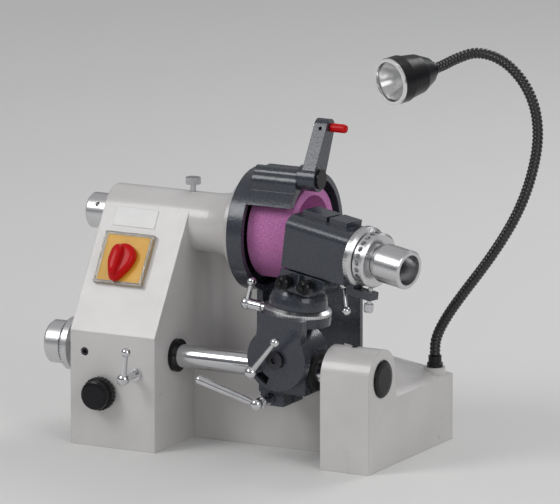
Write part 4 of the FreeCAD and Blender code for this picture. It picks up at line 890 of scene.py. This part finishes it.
@dataclass
class Graduations:
    """A ring of engraved lines round a turned collar, every fifth one longer."""

    name: str
    body: str
    slot: str
    at: Point
    along: Point
    radius: float
    count: int
    length: float
    width: float = 0.00035
    sunk: float = 0.00006
    long_every: float = 5.0
    short: float = 0.6

    def build(self, ink: bpy.types.Material) -> bpy.types.Object:
        """Run the lines round the collar.

        Args:
            ink: the filled lines' material.

        Returns:
            The ring of lines.
        """
        recipe = Recipe(self.name + "_lines")
        count = recipe.value("Count", "Int", self.count)
        radius = recipe.value("Radius", "Float", self.radius)
        length = recipe.value("Length", "Float", self.length)
        width = recipe.value("Width", "Float", self.width)
        points = recipe.add("GeometryNodePoints", None, Count=count).outputs["Geometry"]
        index = recipe.add("GeometryNodeInputIndex").outputs["Index"]
        turn = recipe.math("MULTIPLY", recipe.math("DIVIDE", index, count), FULL_TURN)
        across = recipe.math("MULTIPLY", recipe.math("COSINE", turn), radius)
        up = recipe.math("MULTIPLY", recipe.math("SINE", turn), radius)
        is_long = recipe.math("COMPARE", recipe.math("MODULO", index, self.long_every), 0.0)
        share = recipe.math("ADD", recipe.math("MULTIPLY", is_long, 1.0 - self.short), self.short)
        reach = recipe.math("MULTIPLY", length, share)
        place = recipe.spot(X=recipe.math("MULTIPLY", reach, 0.5), Y=across, Z=up)
        ring = recipe.add("GeometryNodeSetPosition", None, Geometry=points, Position=place)
        bar = recipe.add("GeometryNodeMeshCube", None, Size=(1.0, 1.0, 1.0)).outputs["Mesh"]
        size = recipe.spot(X=reach, Y=2 * self.sunk, Z=width)
        axis = recipe.add("FunctionNodeAxisAngleToRotation", None, Axis=(1.0, 0.0, 0.0), Angle=turn)
        lines = recipe.add(
            "GeometryNodeInstanceOnPoints", None, Points=ring.outputs["Geometry"], Instance=bar,
            Rotation=axis.outputs["Rotation"], Scale=size)
        start = put(self.name, bpy.data.meshes.new(self.name))
        mesh = recipe.make(start, lines.outputs["Instances"], ink)
        spin = Vector((1, 0, 0)).rotation_difference(Vector(self.along)).to_matrix().to_4x4()
        mesh.transform(Matrix.Translation(self.at) @ spin)
        return piece(self.name, mesh, self.body, ink)


@dataclass
class Gooseneck:
    """The lamp's wound metal hose, a helical strip along its route."""

    start: Vector
    route: tuple[Point, ...] = (
        (0, 0, 0), (0, 0, 0.008), (0.0008, 0, 0.016), (0.006, 0, 0.030), (0.023, 0, 0.057),
        (0.069, 0.002, 0.117), (0.100, 0.004, 0.170), (0.116, 0.006, 0.225), (0.115, 0.009, 0.265),
        (0.100, 0.012, 0.297), (0.074, 0.012, 0.321), (0.048, 0.002, 0.330), (0.032, -0.017, 0.324),
        (0.0245, -0.0367, 0.318), (0.021, -0.046, 0.317))
    bend_from: int = 3
    bend_to: int = -2
    radius: float = 0.0058
    groove: float = 0.0013
    groove_shape: float = 0.6
    turns: int = 104
    steps_a_turn: float = 8.0
    sides: int = 16

    def spine(self) -> bpy.types.Object:
        """Draw the route.

        Returns:
            A smooth curve object.
        """
        data = bpy.data.curves.new("gooseneck_route", "CURVE")
        data.dimensions = "3D"
        data.resolution_u = 24
        line = data.splines.new("NURBS")
        line.points.add(len(self.route) - 1)
        for point, place in zip(line.points, self.route):
            point.co = (*(self.start + Vector(place)), 1.0)
        line.order_u = 3
        line.use_endpoint_u = True
        return put("gooseneck_route", data)

    def build(self, finish: bpy.types.Material) -> bpy.types.Object:
        """Wind the strip along the route from the base to the lamp.

        Args:
            finish: the hose's material.

        Returns:
            The hose.
        """
        recipe = Recipe("wound_hose")
        radius = recipe.value("Radius", "Float", self.radius)
        groove = recipe.value("Groove", "Float", self.groove)
        turns = recipe.value("Turns", "Int", self.turns)
        steps = recipe.math("MULTIPLY", turns, self.steps_a_turn)
        route = recipe.source.outputs["Geometry"]
        line = recipe.add("GeometryNodeResampleCurve", None, Curve=route, Count=steps).outputs["Curve"]
        circle = recipe.add("GeometryNodeCurvePrimitiveCircle", None, Resolution=self.sides, Radius=radius)
        share = recipe.add("GeometryNodeSplineParameter").outputs["Factor"]
        spine, along = recipe.capture(line, "Along", share)
        ring, around = recipe.capture(circle.outputs["Curve"], "Around", share)
        skin = recipe.add("GeometryNodeCurveToMesh", None, Curve=spine, Profile_Curve=ring, Fill_Caps=True)
        phase = recipe.math("ADD", recipe.math("MULTIPLY", along, turns), around)
        wave = recipe.math("ABSOLUTE", recipe.math("SINE", recipe.math("MULTIPLY", phase, math.pi)))
        ridge = recipe.math("POWER", wave, self.groove_shape)
        dip = recipe.math("MULTIPLY", recipe.math("SUBTRACT", ridge, 1.0), groove)
        normal = recipe.add("GeometryNodeInputNormal").outputs["Normal"]
        out = recipe.add("ShaderNodeVectorMath", {"operation": "SCALE"}, i0=normal, Scale=dip).outputs["Vector"]
        wound = recipe.add("GeometryNodeSetPosition", None, Geometry=skin.outputs["Mesh"], Offset=out)
        smooth = recipe.add("GeometryNodeSetShadeSmooth", None, Geometry=wound.outputs["Geometry"])
        mesh = recipe.make(self.spine(), smooth.outputs["Geometry"], finish)
        made = put("wound_gooseneck", mesh)
        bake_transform(made)
        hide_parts("gooseneck")
        log.info("made the gooseneck with %d faces", len(mesh.polygons))
        return made


@dataclass
class Studio:
    """The floor, the soft lamps and the camera at the photo's angle.

    Each lamp has a name, a place, a size in metres and a power in watts.
    """

    azimuth: float = 28.0
    elevation: float = 12.0
    distance: float = 9.0
    pixels_per_mm: float = 0.954
    frame_size: tuple[int, int] = (560, 504)
    aim: Point = (0.059, 0.0, 0.230)
    aim_pixel: Flat = (311.5, 233.2)
    sensor: float = 36.0
    far: float = 100.0
    lamps: tuple[tuple[str, Point, float, float], ...] = (
        ("key", (-1.3, -1.9, 1.9), 1.3, 23.0),
        ("fill", (2.1, -1.3, 1.1), 1.5, 14.0),
        ("back", (0.6, 1.9, 1.8), 1.2, 14.0))
    lamp_aim: Point = (0, 0, 0.15)
    wall: Colour = (0.20, 0.21, 0.23)
    wall_top: float = 0.12
    ceiling: Colour = (0.74, 0.74, 0.75)
    ceiling_edge: float = 0.62
    room_light: float = 0.62
    floor_half: float = 12.0

    def axes(self) -> tuple[Vector, Vector, Vector]:
        """Work out the camera's directions.

        Returns:
            Right, up and forward.
        """
        a, e = math.radians(self.azimuth), math.radians(self.elevation)
        right = Vector((math.cos(a), math.sin(a), 0))
        forward = Vector((-math.sin(a) * math.cos(e), math.cos(a) * math.cos(e), -math.sin(e)))
        return right, right.cross(forward), forward

    def camera(self) -> None:
        """Set the camera so that the aim point falls on its pixel in the photo."""
        right, up, forward = self.axes()
        shift_u = (self.frame_size[0] / 2 - self.aim_pixel[0]) / self.pixels_per_mm / MM_PER_M
        shift_v = (self.aim_pixel[1] - self.frame_size[1] / 2) / self.pixels_per_mm / MM_PER_M
        data = bpy.data.cameras.new("photo_camera")
        data.sensor_width = self.sensor
        data.lens = self.sensor * self.pixels_per_mm * self.distance * MM_PER_M / self.frame_size[0]
        data.clip_end = self.far
        camera = put("photo_camera", data)
        place = Vector(self.aim) + right * shift_u + up * shift_v - forward * self.distance
        turn = Matrix((right, up, -forward)).transposed().to_4x4()
        camera.matrix_world = Matrix.Translation(place) @ turn
        bpy.context.scene.camera = camera

    def lights(self) -> None:
        """Hang the soft lamps round the object, aimed at it."""
        for name, place, size, power in self.lamps:
            data = bpy.data.lights.new(name + "_lamp", "AREA")
            data.shape = "DISK"
            data.size = size
            data.energy = power
            lamp = put(name + "_lamp", data)
            lamp.location = place
            lamp.rotation_euler = (Vector(self.lamp_aim) - Vector(place)).to_track_quat("-Z", "Y").to_euler()

    def room(self) -> None:
        """Light the room softly from above, with dim walls for the bright metal to reflect."""
        world = bpy.data.worlds.new("studio")
        world.use_nodes = True
        nodes, links = world.node_tree.nodes, world.node_tree.links
        height = nodes.new("ShaderNodeSeparateXYZ")
        links.new(nodes.new("ShaderNodeTexCoord").outputs["Generated"], height.inputs["Vector"])
        ramp = nodes.new("ShaderNodeValToRGB")
        links.new(height.outputs["Z"], ramp.inputs["Fac"])
        stops = ((self.wall, self.wall_top), (self.ceiling, self.ceiling_edge))
        for element, (colour, place) in zip(ramp.color_ramp.elements, stops):
            element.color = (*colour, 1.0)
            element.position = place
        links.new(ramp.outputs["Color"], nodes["Background"].inputs["Color"])
        nodes["Background"].inputs["Strength"].default_value = self.room_light
        bpy.context.scene.world = world

    def floor(self) -> None:
        """Lay the plain pale floor."""
        half = self.floor_half
        mesh = bpy.data.meshes.new("floor")
        corners = [(-half, -half, 0), (half, -half, 0), (half, half, 0), (-half, half, 0)]
        mesh.from_pydata(corners, [], [(0, 1, 2, 3)])
        tree = Tree("floor_paper")
        tree.set(Roughness=0.9, Base_Color=(0.80, 0.80, 0.79))
        mesh.materials.append(tree.material)
        floor = put("floor", mesh)

    def build(self) -> None:
        """Set up the whole studio."""
        self.camera()
        self.lights()
        self.room()
        bpy.context.scene.view_settings.view_transform = "Standard"
        self.floor()


@dataclass
class Sharpener:
    """The whole machine: its finishes and the pieces that stand on them."""

    finishes: Finishes = field(default_factory=Finishes)
    ink: Finish = Moulded("scale_ink", (0.02, 0.02, 0.02), (0.012, 0.012, 0.012), roughness=0.6)
    hose: Finish = Moulded(
        "hose_black", (0.016, 0.016, 0.018), (0.009, 0.009, 0.011), roughness=0.27, coat=0.2)
    collar_ahead: float = 0.0845
    swivel_below: float = 0.0055
    dial_x: float = -0.198
    hose_above_foot: float = 0.0003

    def scales(self) -> list[Graduations]:
        """Place the three engraved scales.

        Returns:
            The scales of the workhead's collar, the swivel ring and the feed wheel.
        """
        work_at, work = joint_axis("work_spindle_turn")
        swivel_at, swivel = joint_axis("head_swivel")
        bar_at, bar = joint_axis("work_swing")
        collar = tuple(Vector(work_at) + Vector(work) * self.collar_ahead)
        ring = tuple(Vector(swivel_at) - Vector(swivel) * self.swivel_below)
        dial = (self.dial_x, bar_at[1], bar_at[2])
        alloy = "satin_aluminium"
        wheel = "feed_handwheel"
        return [
            Graduations("collar_scale", "head", alloy, collar, work, radius=0.032, count=60, length=0.0042),
            Graduations("swivel_scale", "tilt", alloy, ring, swivel, radius=0.0355, count=72, length=0.0028),
            Graduations("feed_scale", wheel, alloy, dial, bar, radius=0.028, count=50, length=0.0040),
        ]

    def build(self) -> None:
        """Dress the frame and add the pieces."""
        self.finishes.dress()
        SwitchHandle().build(bpy.data.materials["handle_red"])
        StopKnob().build(bpy.data.materials["knob_black"])
        ink = self.ink.material()
        for scale in self.scales():
            scale.build(ink)
        low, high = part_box("lamp_foot")
        start = Vector(((low[0] + high[0]) / 2, (low[1] + high[1]) / 2, high[2] + self.hose_above_foot))
        Gooseneck(start).build(self.hose.material())


def main() -> None:
    """Build the object and its studio."""
    logging.basicConfig(level=logging.INFO, format="%(name)s: %(message)s")
    Sharpener().build()
    Studio().build()


if __name__ == "__main__":
    main()
